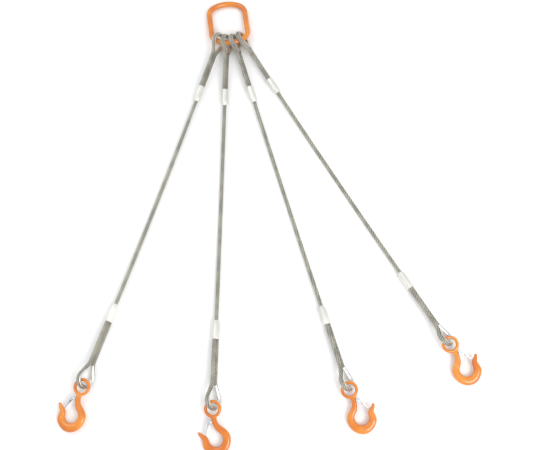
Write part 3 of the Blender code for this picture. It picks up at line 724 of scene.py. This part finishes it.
def latch_mesh(s):
    """Sheet tongue with two ears and a pressed rib. Pivot at the origin, nose along +X."""
    half, nose = s.latch_width / 2, s.latch_nose_width / 2
    root, shoulder = -s.ear_radius / 3, s.ear_radius * 1.5
    nose_x = s.latch_length - nose
    side = [Vector((root, half)), Vector((shoulder, half)), Vector((nose_x, nose))]
    tip = arc((nose_x, 0), nose, NOSE_TURN, -NOSE_TURN, 10)
    outline = side + tip + [Vector((p.x, -p.y)) for p in reversed(side)]
    tongue = plate("tongue", outline, s.tongue_inside, s.ear_radius)
    tongue.transform(Matrix.Rotation(math.pi / 2, 4, "X"))
    rib_end = nose_x - RIB_SHORT
    rib = turned("rib", [(shoulder, RIB_END), (shoulder + RIB_RISE, s.latch_rib),
                         (rib_end - RIB_RISE, s.latch_rib), (rib_end, RIB_END)], RIB_SIDES)
    rib.transform(Matrix.Translation((0, -s.ear_radius + RIB_SUNK, 0)))
    middle = (s.tongue_inside + s.ear_radius) / 2
    ear = arc((0, 0), s.ear_radius, 0, EAR_TURN, 10)
    ear += [Vector((root, -middle)), Vector((shoulder, -middle))]
    ears = [plate("ear", ear, low, low + s.latch_sheet) for low in (-half, half - s.latch_sheet)]
    pressed = fused("latch", [tongue, rib, *ears], LATCH_VOXEL, LATCH_SMOOTHING)
    return drilled("latch", pressed, (0, 0), s.pin_d / 2 + s.pin_gap, s.latch_width)


def rivet_mesh(s):
    """A rivet with domed heads, turned about the X axis."""
    half = s.latch_width / 2 + s.touch_gap
    head, stem = s.pin_head_d / 2, s.pin_d / 2
    dome = [(half + s.pin_head_height * math.sin(a), head * math.cos(a))
            for a in DOME_ANGLES]
    right = [(half, stem), *dome]
    profile = [(-x, r) for x, r in reversed(right)] + right
    made = turned("rivet", profile, RIVET_SIDES)
    made.set_sharp_from_angle(angle=SHARP_EDGE)
    return made


# ---- node trees -----------------------------------------------------------------------------

class Nodes:
    """A node tree, with short ways to add to it. A value may be a socket or a number."""

    def __init__(self, tree):
        self.tree = tree

    def feed(self, socket, value):
        if isinstance(value, bpy.types.NodeSocket):
            self.tree.links.new(value, socket)
        else:
            socket.default_value = value

    def add(self, kind, inputs=None, **settings):
        made = self.tree.nodes.new(kind)
        for name, value in settings.items():
            setattr(made, name, value)
        for name, value in (inputs or {}).items():
            self.feed(made.inputs[name], value)
        return made

    def math(self, operation, *values):
        made = self.add("ShaderNodeMath", operation=operation)
        for socket, value in zip(made.inputs, values):
            self.feed(socket, value)
        return made.outputs[0]

    def ramp(self, value, low, high, to_low=0.0, to_high=1.0):
        """Ease a value from one range to another."""
        made = self.add("ShaderNodeMapRange", {
            "Value": value, "From Min": low, "From Max": high, "To Min": to_low,
            "To Max": to_high}, interpolation_type="SMOOTHSTEP")
        return made.outputs["Result"]

    def mix(self, amount, first, second):
        made = self.add("ShaderNodeMix", data_type="RGBA")
        for socket, value in zip((made.inputs[0], made.inputs[6], made.inputs[7]),
                                 (amount, first, second)):
            self.feed(socket, value)
        return made.outputs[2]

    def noise(self, vector, scale, detail=2.0, roughness=0.5):
        made = self.add("ShaderNodeTexNoise", {
            "Vector": vector, "Scale": scale, "Detail": detail, "Roughness": roughness})
        return made.outputs[0]

    def stretched(self, vector, scale):
        """Coordinates scaled differently each way, for drawn or brushed marks."""
        made = self.add("ShaderNodeMapping", {"Vector": vector, "Scale": scale})
        return made.outputs[0]

    def number(self, name):
        """A number kept on the mesh's points."""
        return self.add("ShaderNodeAttribute", attribute_name=name).outputs["Fac"]


def new_tree(name, kind, inputs, outputs):
    """An empty node tree with named sockets, each given as (name, type, default)."""
    tree = bpy.data.node_groups.new(name, kind)
    for sockets, way in ((inputs, "INPUT"), (outputs, "OUTPUT")):
        for socket_name, socket_type, default in sockets:
            made = tree.interface.new_socket(socket_name, in_out=way, socket_type=socket_type)
            if default is not None:
                made.default_value = default
    nodes = Nodes(tree)
    return nodes, nodes.add("NodeGroupInput").outputs, nodes.add("NodeGroupOutput").inputs


def close_tree(nodes, given, kept, mesh):
    """Shade, paint and hand over what a Geometry Nodes tree has made."""
    smooth = nodes.add("GeometryNodeSetShadeSmooth", {"Geometry": mesh})
    real = nodes.add("GeometryNodeRealizeInstances", {"Geometry": smooth.outputs[0]})
    painted = nodes.add("GeometryNodeSetMaterial", {
        "Geometry": real.outputs[0], "Material": given["Material"]})
    nodes.feed(kept["Geometry"], painted.outputs[0])
    return nodes.tree


def rope_tree():
    """Strands laid round a guide line, each strand a lobe of the rope's outline."""
    nodes, given, kept = new_tree("laid_rope", "GeometryNodeTree", (
        ("Geometry", "NodeSocketGeometry", None), ("Radius", "NodeSocketFloat", 0.004),
        ("Strands", "NodeSocketInt", 6), ("Lay", "NodeSocketFloat", 0.05),
        ("Start", "NodeSocketFloat", 0.0), ("Step", "NodeSocketFloat", 0.0015),
        ("Material", "NodeSocketMaterial", None)), (("Geometry", "NodeSocketGeometry", None),))
    guide = nodes.add("GeometryNodeMeshToCurve", {"Mesh": given["Geometry"]}).outputs[0]
    guide = nodes.add("GeometryNodeResampleCurve", {"Curve": guide, "Length": given["Step"]},
                      mode="LENGTH").outputs[0]
    guide = nodes.add("GeometryNodeSetCurveNormal", {"Curve": guide}, mode="Z_UP").outputs[0]
    thickness = nodes.add("GeometryNodeInputNamedAttribute", {"Name": "thickness"},
                          data_type="FLOAT").outputs[0]
    guide = nodes.add("GeometryNodeSetCurveRadius", {"Curve": guide, "Radius": thickness}
                      ).outputs[0]
    along = nodes.add("GeometryNodeSplineParameter").outputs["Length"]
    along = nodes.math("ADD", along, given["Start"])
    tilt = nodes.math("MULTIPLY", nodes.math("DIVIDE", along, given["Lay"]), 2 * math.pi)
    guide = nodes.add("GeometryNodeSetCurveTilt", {"Curve": guide, "Tilt": tilt}).outputs[0]
    guide = nodes.add("GeometryNodeStoreNamedAttribute", {
        "Geometry": guide, "Name": "rope_along", "Value": along}, data_type="FLOAT",
        domain="POINT").outputs[0]

    sides = nodes.math("MULTIPLY", given["Strands"], float(STRAND_POINTS))
    circle = nodes.add("GeometryNodeCurvePrimitiveCircle", {
        "Resolution": sides, "Radius": 1.0}).outputs[0]
    turn_share = nodes.add("GeometryNodeSplineParameter").outputs["Factor"]
    across = nodes.math("FRACT", nodes.math("MULTIPLY", turn_share, given["Strands"]))
    across = nodes.math("SUBTRACT", across, 0.5)
    pitch = nodes.math("DIVIDE", 2 * math.pi, given["Strands"])
    lobe = nodes.math("MULTIPLY", across, pitch)
    half_sine = nodes.math("SINE", nodes.math("MULTIPLY", pitch, 0.5))
    strand = nodes.math("DIVIDE", half_sine, nodes.math("ADD", half_sine, 1.0))
    middle = nodes.math("SUBTRACT", 1.0, strand)
    inward = nodes.math("MULTIPLY", middle, nodes.math("SINE", lobe))
    squared = nodes.math("SUBTRACT", nodes.math("MULTIPLY", strand, strand),
                         nodes.math("MULTIPLY", inward, inward))
    bulge = nodes.math("SQRT", nodes.math("MAXIMUM", squared, 0.0))
    reach = nodes.math("ADD", nodes.math("MULTIPLY", middle, nodes.math("COSINE", lobe)), bulge)
    angle = nodes.math("MULTIPLY", turn_share, 2 * math.pi)
    cosine, sine = nodes.math("COSINE", angle), nodes.math("SINE", angle)
    radius = nodes.math("MULTIPLY", reach, given["Radius"])
    place = nodes.add("ShaderNodeCombineXYZ", {
        "X": nodes.math("MULTIPLY", cosine, radius), "Y": nodes.math("MULTIPLY", sine, radius)})
    crown = nodes.math("SUBTRACT", 1.0, nodes.math("ABSOLUTE", nodes.math(
        "MULTIPLY", across, 2.0)))
    facts = nodes.add("ShaderNodeCombineXYZ", {"X": cosine, "Y": sine, "Z": crown})
    circle = nodes.add("GeometryNodeStoreNamedAttribute", {
        "Geometry": circle, "Name": "strand_place", "Value": facts.outputs[0]},
        data_type="FLOAT_VECTOR", domain="POINT").outputs[0]
    circle = nodes.add("GeometryNodeSetPosition", {
        "Geometry": circle, "Position": place.outputs[0]}).outputs[0]
    skin = nodes.add("GeometryNodeCurveToMesh", {
        "Curve": guide, "Profile Curve": circle, "Fill Caps": True}).outputs[0]
    return close_tree(nodes, given, kept, skin)


def bar_tree():
    """A round bar or wire along a guide line."""
    nodes, given, kept = new_tree("round_bar", "GeometryNodeTree", (
        ("Geometry", "NodeSocketGeometry", None), ("Radius", "NodeSocketFloat", 0.006),
        ("Sides", "NodeSocketInt", 32), ("Step", "NodeSocketFloat", 0.0015),
        ("Material", "NodeSocketMaterial", None)), (("Geometry", "NodeSocketGeometry", None),))
    guide = nodes.add("GeometryNodeMeshToCurve", {"Mesh": given["Geometry"]}).outputs[0]
    guide = nodes.add("GeometryNodeResampleCurve", {"Curve": guide, "Length": given["Step"]},
                      mode="LENGTH").outputs[0]
    circle = nodes.add("GeometryNodeCurvePrimitiveCircle", {
        "Resolution": given["Sides"], "Radius": given["Radius"]}).outputs[0]
    skin = nodes.add("GeometryNodeCurveToMesh", {
        "Curve": guide, "Profile Curve": circle, "Fill Caps": True}).outputs[0]
    return close_tree(nodes, given, kept, skin)


def along_guide(name, tree, points, inputs, closed=False, thickness=None):
    """Run a Geometry Nodes tree on a line of points and keep the result as a plain mesh."""
    guide = bpy.data.meshes.new(f"{name}_guide")
    edges = [(k, k + 1) for k in range(len(points) - 1)]
    edges += [(len(points) - 1, 0)] * closed
    guide.from_pydata([tuple(p) for p in points], edges, [])
    store(guide, "thickness", thickness if thickness is not None else [1.0] * len(points))
    holder = bpy.data.objects.new(name, guide)
    bpy.context.scene.collection.objects.link(holder)
    modifier = holder.modifiers.new("shape", "NODES")
    modifier.node_group = tree
    for item in tree.interface.items_tree:
        if item.in_out == "INPUT" and item.name in inputs:
            modifier[item.identifier] = inputs[item.name]
    graph = bpy.context.evaluated_depsgraph_get()
    mesh = bpy.data.meshes.new_from_object(holder.evaluated_get(graph))
    mesh.name = name
    holder.modifiers.clear()
    bpy.data.objects.remove(holder)
    return mesh


def rope_mesh(name, points, s, start=0.0, thickness=None):
    """A laid rope along a line of points. Start is the length of rope before them."""
    return along_guide(name, bpy.data.node_groups["laid_rope"], points, {
        "Radius": s.rope_r, "Strands": s.rope_strands, "Lay": s.rope_lay, "Start": start,
        "Step": s.rope_step, "Material": bpy.data.materials["galvanised_rope"]},
        thickness=thickness)


# ---- materials ------------------------------------------------------------------------------

def grain_group():
    """Fine unevenness of a surface, used for its bump and its roughness."""
    nodes, given, kept = new_tree("surface_grain", "ShaderNodeTree", (
        ("Vector", "NodeSocketVector", None), ("Scale", "NodeSocketFloat", 600.0),
        ("Detail", "NodeSocketFloat", 3.0)), (
        ("Grain", "NodeSocketFloat", None), ("Cloud", "NodeSocketFloat", None)))
    nodes.feed(kept["Grain"], nodes.noise(given["Vector"], given["Scale"], given["Detail"]))
    wide = nodes.math("MULTIPLY", given["Scale"], 0.05)
    nodes.feed(kept["Cloud"], nodes.noise(given["Vector"], wide, 2.0))


def wear_group():
    """Rubbed places where pieces bear on each other, and stray scuffs elsewhere."""
    nodes, given, kept = new_tree("handling_wear", "ShaderNodeTree", (
        ("Vector", "NodeSocketVector", None), ("Contact", "NodeSocketFloat", 0.0),
        ("Amount", "NodeSocketFloat", 0.3)), (
        ("Rubbed", "NodeSocketFloat", None), ("Scuffed", "NodeSocketFloat", None)))
    patches = nodes.noise(given["Vector"], 260.0, 5.0, 0.65)
    amount = nodes.math("MULTIPLY", given["Contact"], given["Amount"])
    edge = nodes.math("SUBTRACT", 0.92, amount)
    rubbed = nodes.ramp(nodes.math("SUBTRACT", patches, edge), -0.03, 0.05)
    nodes.feed(kept["Rubbed"], rubbed)
    streaks = nodes.noise(nodes.stretched(given["Vector"], (1.0, 0.12, 1.0)), 900.0, 2.0, 0.7)
    nodes.feed(kept["Scuffed"], nodes.ramp(streaks, 0.64, 0.78))


def new_material(name):
    """A material, its main shader and the coordinates that its patterns use."""
    material = bpy.data.materials.new(name)
    material.use_nodes = True
    nodes = Nodes(material.node_tree)
    shader = material.node_tree.nodes["Principled BSDF"]
    place = nodes.add("ShaderNodeTexCoord").outputs["Object"]
    return nodes, shader, place


def place_group(nodes, name, inputs):
    """Use a shared node tree in a material and return what it gives."""
    made = nodes.add("ShaderNodeGroup", node_tree=bpy.data.node_groups[name])
    for key, value in inputs.items():
        nodes.feed(made.inputs[key], value)
    return made.outputs


def bump(nodes, shader, height, strength, distance):
    """Raise the shader's surface by a height pattern."""
    made = nodes.add("ShaderNodeBump", {
        "Height": height, "Strength": strength, "Distance": distance})
    nodes.feed(shader.inputs["Normal"], made.outputs[0])


def opaque(values):
    """A colour with full alpha."""
    return (*values, 1.0)


def paint_material(look):
    """Glossy baked orange coat with a little orange peel and random patches of painted shade,
    rubbed where it bears.
    """
    nodes, shader, place = new_material("orange_coat")
    grain = place_group(nodes, "surface_grain", {"Vector": place, "Scale": 520.0})
    wear = place_group(nodes, "handling_wear", {
        "Vector": place, "Contact": nodes.number("contact"), "Amount": look.wear})
    # painted shade: random cloudy patches of the coat's shaded orange over its lit orange
    shade = nodes.ramp(grain["Cloud"], 0.35, 0.7)
    coat = nodes.mix(shade, opaque(look.paint_in_shade), opaque(look.paint))
    coat = nodes.mix(nodes.math("MULTIPLY", wear["Scuffed"], 0.10), coat, SCUFFED_PAINT)
    steel = nodes.mix(wear["Rubbed"], coat, BARE_STEEL)
    nodes.feed(shader.inputs["Base Color"], steel)
    nodes.feed(shader.inputs["Metallic"], nodes.math("MULTIPLY", wear["Rubbed"], 0.8))
    rough = nodes.math("ADD", nodes.math("MULTIPLY", grain["Grain"], 0.10), 0.20)
    rough = nodes.math("ADD", rough, nodes.math("MULTIPLY", wear["Scuffed"], 0.06))
    nodes.feed(shader.inputs["Roughness"], rough)
    shader.inputs["Coat Weight"].default_value = 0.6
    shader.inputs["Coat Roughness"].default_value = 0.08
    bump(nodes, shader, grain["Grain"], look.paint_peel * 2, 0.0003)


def rope_material(look, s):
    """Galvanised wires that run along the rope, dark between the strands and between the wires:
    partly grease, partly painted shade.
    """
    nodes, shader, place = new_material("galvanised_rope")
    facts = nodes.add("ShaderNodeAttribute", attribute_name="strand_place").outputs["Vector"]
    parts = nodes.add("ShaderNodeSeparateXYZ", {"Vector": facts}).outputs
    angle = nodes.math("ARCTAN2", parts["Y"], parts["X"])
    along = nodes.math("MULTIPLY", nodes.number("rope_along"), 2 * math.pi / s.rope_lay)
    fixed = nodes.math("ADD", angle, along)
    wire = nodes.math("ABSOLUTE", nodes.math("SINE", nodes.math(
        "MULTIPLY", fixed, s.rope_wires / 2)))
    # painted shade and grease: the colour darkens into the grooves between strands (crown) and
    # between wires (gaps)
    crown = nodes.ramp(parts["Z"], 0.05, 0.55)
    grain = place_group(nodes, "surface_grain", {"Vector": place, "Scale": 900.0})
    zinc = nodes.mix(nodes.ramp(grain["Cloud"], 0.35, 0.65), opaque(look.rope_zinc),
                     tuple(c * 0.72 for c in look.rope_zinc) + (1.0,))
    gaps = nodes.ramp(wire, 0.0, 0.55, 0.35, 1.0)
    shown = nodes.math("MULTIPLY", crown, gaps)
    nodes.feed(shader.inputs["Base Color"], nodes.mix(shown, opaque(look.rope_grease_and_shade), zinc))
    nodes.feed(shader.inputs["Metallic"], nodes.math("MULTIPLY", shown, 0.55))
    rough = nodes.math("ADD", nodes.math("MULTIPLY", grain["Grain"], 0.25), 0.34)
    nodes.feed(shader.inputs["Roughness"], rough)
    height = nodes.math("ADD", wire, nodes.math("MULTIPLY", grain["Grain"], 0.25))
    bump(nodes, shader, height, 0.8, 0.00012)


def metal_material(name, tint, rough_low, metallic, scale, look, stretch=(1, 1, 1), depth=0.25):
    """Plated or pressed metal: cloudy tint, drawn marks and scuffs."""
    nodes, shader, place = new_material(name)
    grain = place_group(nodes, "surface_grain", {
        "Vector": nodes.stretched(place, stretch), "Scale": scale})
    wear = place_group(nodes, "handling_wear", {
        "Vector": place, "Contact": nodes.number("contact"), "Amount": look.wear})
    cloudy = nodes.mix(nodes.ramp(grain["Cloud"], 0.3, 0.7), opaque(tint),
                       tuple(c * 0.86 for c in tint) + (1.0,))
    marked = nodes.mix(nodes.math("MULTIPLY", wear["Scuffed"], 0.35), cloudy,
                       tuple(c * 0.6 for c in tint) + (1.0,))
    nodes.feed(shader.inputs["Base Color"], marked)
    rough = nodes.math("ADD", nodes.math("MULTIPLY", grain["Grain"], 0.22), rough_low)
    nodes.feed(shader.inputs["Roughness"], rough)
    shader.inputs["Metallic"].default_value = metallic
    bump(nodes, shader, grain["Grain"], depth, 0.0002)


def floor_material(look):
    """Plain pale floor with hardly any tone."""
    nodes, shader, place = new_material("pale_floor")
    tone = nodes.ramp(nodes.noise(place, 3.0), 0.2, 0.8)
    nodes.feed(shader.inputs["Base Color"], nodes.mix(tone, opaque(look.floor), tuple(
        c * 0.99 for c in look.floor) + (1.0,)))
    shader.inputs["Roughness"].default_value = 0.7
    shader.inputs["Specular IOR Level"].default_value = 0.15


# ---- pieces ---------------------------------------------------------------------------------

def put(mesh, name, node, place=None, material=None):
    """Add a finished piece that stands for a node and rides on the node's body."""
    if place is not None:
        mesh = mesh.copy()
        mesh.name = name
        mesh.transform(place)
    if material:
        mesh.materials.clear()
        mesh.materials.append(bpy.data.materials[material])
    piece = bpy.data.objects.new(name, mesh)
    bpy.context.scene.collection.objects.link(piece)
    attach(piece, frame["nodes"][node]["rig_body"])
    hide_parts(node)
    return piece


class SLING_OT_stage(bpy.types.Operator):
    """Set up the camera, the pale floor and the soft studio lights"""

    bl_idname = "sling.stage"
    bl_label = "Stage"

    def execute(self, context):
        stage = context.scene.sling_stage
        floor_material(context.scene.sling_finishes)
        self.add_camera(context.scene, stage)
        self.add_floor(context.scene)
        self.add_lights(context.scene, stage)
        context.scene.view_settings.view_transform = "Standard"
        return {"FINISHED"}

    def add_camera(self, scene, stage):
        data = bpy.data.cameras.new("camera")
        data.lens = stage.lens
        data.clip_start, data.clip_end = 0.05, 50.0
        camera = bpy.data.objects.new("camera", data)
        scene.collection.objects.link(camera)
        back = Vector((math.sin(stage.azimuth) * math.cos(stage.elevation),
                       -math.cos(stage.azimuth) * math.cos(stage.elevation),
                       math.sin(stage.elevation)))
        camera.location = Vector(stage.aim) + back * stage.distance
        camera.rotation_euler = (-back).to_track_quat("-Z", "Y").to_euler()
        scene.camera = camera

    def add_floor(self, scene):
        bm = bmesh.new()
        bmesh.ops.create_grid(bm, x_segments=1, y_segments=1, size=FLOOR_SIZE)
        mesh = bpy.data.meshes.new("floor")
        bm.to_mesh(mesh)
        bm.free()
        mesh.materials.append(bpy.data.materials["pale_floor"])
        floor = bpy.data.objects.new("floor", mesh)
        floor.location.z = -FLOOR_DROP
        scene.collection.objects.link(floor)

    def add_lights(self, scene, stage):
        world = bpy.data.worlds.new("studio")
        world.use_nodes = True
        sky = world.node_tree.nodes["Background"]
        sky.inputs["Color"].default_value = (0.97, 0.985, 1.0, 1.0)
        sky.inputs["Strength"].default_value = stage.sky
        scene.world = world
        for name, place, power, size in (
                ("key_light", (0.9, -1.5, 1.9), stage.key, 1.3),
                ("fill_light", (-1.3, 1.1, 2.0), stage.fill, 1.8)):
            data = bpy.data.lights.new(name, "AREA")
            data.energy = power
            data.size = size
            light = bpy.data.objects.new(name, data)
            light.location = place
            light.rotation_euler = (-Vector(place)).to_track_quat("-Z", "Y").to_euler()
            scene.collection.objects.link(light)


class SLING_OT_finishes(bpy.types.Operator):
    """Make the materials and the node trees that the pieces share"""

    bl_idname = "sling.finishes"
    bl_label = "Finishes"

    def execute(self, context):
        look, s = context.scene.sling_finishes, sizes()
        grain_group()
        wear_group()
        rope_tree()
        bar_tree()
        paint_material(look)
        rope_material(look, s)
        metal_material("thimble_steel", look.thimble_zinc, 0.18, 0.9, 700.0, look)
        metal_material("pressed_aluminium", look.aluminium, 0.34, 0.55, 500.0, look, depth=0.35)
        metal_material("latch_steel", look.latch_zinc, 0.22, 0.85, 900.0, look)
        metal_material("spring_steel", look.spring_steel, 0.24, 0.9, 1500.0, look)
        return {"FINISHED"}


class SLING_OT_bare_ropes(bpy.types.Operator):
    """Lay the bare rope of each leg along the floor, in two halves that meet in the middle"""

    bl_idname = "sling.bare_ropes"
    bl_label = "Bare Ropes"

    def execute(self, context):
        s = sizes()
        for leg in LEGS:
            points = bare_rope_points(leg, s)
            middle = ROPE_HALF_POINTS
            into = (points[0] - points[1]).normalized() * ROPE_INTO_NOSE
            out = (points[-1] - points[-2]).normalized() * ROPE_INTO_NOSE
            upper = [points[0] + into] + points[1:middle + 1]
            lower = points[middle:-1] + [points[-1] + out]
            run = sum((b - a).length for a, b in zip(upper, upper[1:]))
            self.lay(leg, "upper", upper, 0.0, "lift", ("top", "middle"), s)
            self.lay(leg, "lower", lower, run, "sway", ("bottom",), s)
        return {"FINISHED"}

    def lay(self, leg, half, points, start, joint, nodes, s):
        name = f"leg_{leg}_bare_rope_{half}"
        piece = bpy.data.objects.new(name, rope_mesh(name, points, s, start))
        bpy.context.scene.collection.objects.link(piece)
        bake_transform(piece)
        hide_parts(*(f"leg_{leg}_rope_{part}" for part in nodes))


class SLING_OT_eye_ropes(bpy.types.Operator):
    """Bend the rope's ends round their thimbles and back into the ferrules"""

    bl_idname = "sling.eye_ropes"
    bl_label = "Eye Ropes"

    def execute(self, context):
        s = sizes()
        path = eye_rope_path(s)
        near = s.crown_to_ferrule - PINCH_LENGTH
        thickness = [1 - (1 - PINCH) * smoothstep((p.x - near) / PINCH_LENGTH) for p in path]
        mesh = rope_mesh("eye_rope", [(p.x, p.y, 0) for p in path], s, thickness=thickness)
        for leg in LEGS:
            for end in ENDS:
                put(mesh, f"leg_{leg}_{end}_eye_strands", f"leg_{leg}_{end}_eye_rope",
                    eye_place(leg, end, s))
        return {"FINISHED"}


class SLING_OT_thimbles(bpy.types.Operator):
    """Press the thimbles that line the rope's eyes"""

    bl_idname = "sling.thimbles"
    bl_label = "Thimbles"

    def execute(self, context):
        s = sizes()
        mesh = thimble_mesh(s)
        for leg in LEGS:
            for end in ENDS:
                put(mesh, f"leg_{leg}_{end}_thimble_trough", f"leg_{leg}_{end}_thimble",
                    eye_place(leg, end, s), "thimble_steel")
        return {"FINISHED"}


class SLING_OT_ferrules(bpy.types.Operator):
    """Press the ferrules that close the eyes"""

    bl_idname = "sling.ferrules"
    bl_label = "Ferrules"

    def execute(self, context):
        s = sizes()
        mesh = ferrule_mesh(s)
        shift = Matrix.Translation((s.crown_to_ferrule, 0, 0))
        for leg in LEGS:
            for end in ENDS:
                put(mesh, f"leg_{leg}_{end}_sleeve", f"leg_{leg}_{end}_ferrule",
                    eye_place(leg, end, s) @ shift, "pressed_aluminium")
        return {"FINISHED"}


class SLING_OT_master_link(bpy.types.Operator):
    """Bend the master link from round bar"""

    bl_idname = "sling.master_link"
    bl_label = "Master Link"

    def execute(self, context):
        s = sizes()
        mesh = along_guide("link", bpy.data.node_groups["round_bar"], link_path(s), {
            "Radius": s.link_bar_d / 2, "Sides": 48, "Step": 0.0014,
            "Material": bpy.data.materials["orange_coat"]}, closed=True)
        places = points_of(mesh)
        inner = s.link_length / 2
        store(mesh, "contact", np.clip(1 - (np.abs(np.abs(places[:, 1]) - inner) / RUB_DEPTH),
                                       0, 1))
        put(mesh, "lifting_link", "master_link", link_place())
        return {"FINISHED"}


class SLING_OT_hooks(bpy.types.Operator):
    """Forge the four eye hooks"""

    bl_idname = "sling.hooks"
    bl_label = "Hooks"

    def execute(self, context):
        mesh = hook_mesh(sizes())
        for leg in LEGS:
            put(mesh, f"hook_{leg}_forging", f"hook_{leg}", hook_place(leg),
                "orange_coat")
        return {"FINISHED"}


class SLING_OT_latches(bpy.types.Operator):
    """Press the sprung latches that close the hooks"""

    bl_idname = "sling.latches"
    bl_label = "Latches"

    def execute(self, context):
        s = sizes()
        mesh = latch_mesh(s)
        for leg in LEGS:
            put(mesh, f"hook_{leg}_latch_sheet", f"hook_{leg}_latch",
                latch_place(leg, s), "latch_steel")
        return {"FINISHED"}


class SLING_OT_rivets(bpy.types.Operator):
    """Set the rivets that the latches turn on"""

    bl_idname = "sling.rivets"
    bl_label = "Rivets"

    def execute(self, context):
        mesh = rivet_mesh(sizes())
        for leg in LEGS:
            upright = Matrix.Translation((*LATCH_PIVOT, 0)) @ Matrix.Rotation(
                math.pi / 2, 4, "Y")
            put(mesh, f"hook_{leg}_latch_rivet", f"hook_{leg}_latch_pin",
                hook_place(leg) @ upright, "latch_steel")
        return {"FINISHED"}


class SLING_OT_springs(bpy.types.Operator):
    """Wind the torsion springs"""

    bl_idname = "sling.springs"
    bl_label = "Springs"

    def execute(self, context):
        s = sizes()
        points = spring_points(s)
        mesh = along_guide("spring", bpy.data.node_groups["round_bar"], points, {
            "Radius": s.spring_wire_d / 2, "Sides": 12, "Step": 0.0004,
            "Material": bpy.data.materials["spring_steel"]})
        for leg in LEGS:
            place = hook_place(leg) @ Matrix.Translation((*LATCH_PIVOT, 0))
            coil = mesh.copy()
            coil.transform(place)
            piece = bpy.data.objects.new(f"hook_{leg}_torsion_spring", coil)
            context.scene.collection.objects.link(piece)
            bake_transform(piece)
            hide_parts(f"hook_{leg}_latch_spring")
        return {"FINISHED"}


OPERATORS = (SLING_OT_stage, SLING_OT_finishes, SLING_OT_bare_ropes, SLING_OT_eye_ropes,
             SLING_OT_thimbles, SLING_OT_ferrules, SLING_OT_master_link, SLING_OT_hooks,
             SLING_OT_latches, SLING_OT_rivets, SLING_OT_springs)


class SLING_PT_panel(bpy.types.Panel):
    """Sizes, finishes and the steps that build the sling"""

    bl_idname = "SLING_PT_panel"
    bl_label = "Wire Rope Sling"
    bl_space_type = "VIEW_3D"
    bl_region_type = "UI"
    bl_category = "Sling"

    def draw(self, context):
        scene = context.scene
        steps = self.layout.column(align=True)
        for operator in OPERATORS:
            steps.operator(operator.bl_idname)
        for title, group in (("Sizes", scene.sling_sizes), ("Finishes", scene.sling_finishes),
                             ("Stage", scene.sling_stage)):
            box = self.layout.box()
            box.label(text=title)
            for key in type(group).__annotations__:
                box.prop(group, key)


GROUPS = (("sling_sizes", SlingSizes), ("sling_finishes", SlingFinishes),
          ("sling_stage", SlingStage))


def register():
    for key, group in GROUPS:
        bpy.utils.register_class(group)
        setattr(bpy.types.Scene, key, PointerProperty(type=group))
    for item in (*OPERATORS, SLING_PT_panel):
        bpy.utils.register_class(item)


def unregister():
    for item in (SLING_PT_panel, *reversed(OPERATORS)):
        bpy.utils.unregister_class(item)
    for key, group in reversed(GROUPS):
        delattr(bpy.types.Scene, key)
        bpy.utils.unregister_class(group)


def main():
    register()
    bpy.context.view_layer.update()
    for operator in OPERATORS:
        family, step = operator.bl_idname.split(".")
        getattr(getattr(bpy.ops, family), step)()


if __name__ == "__main__":
    main()
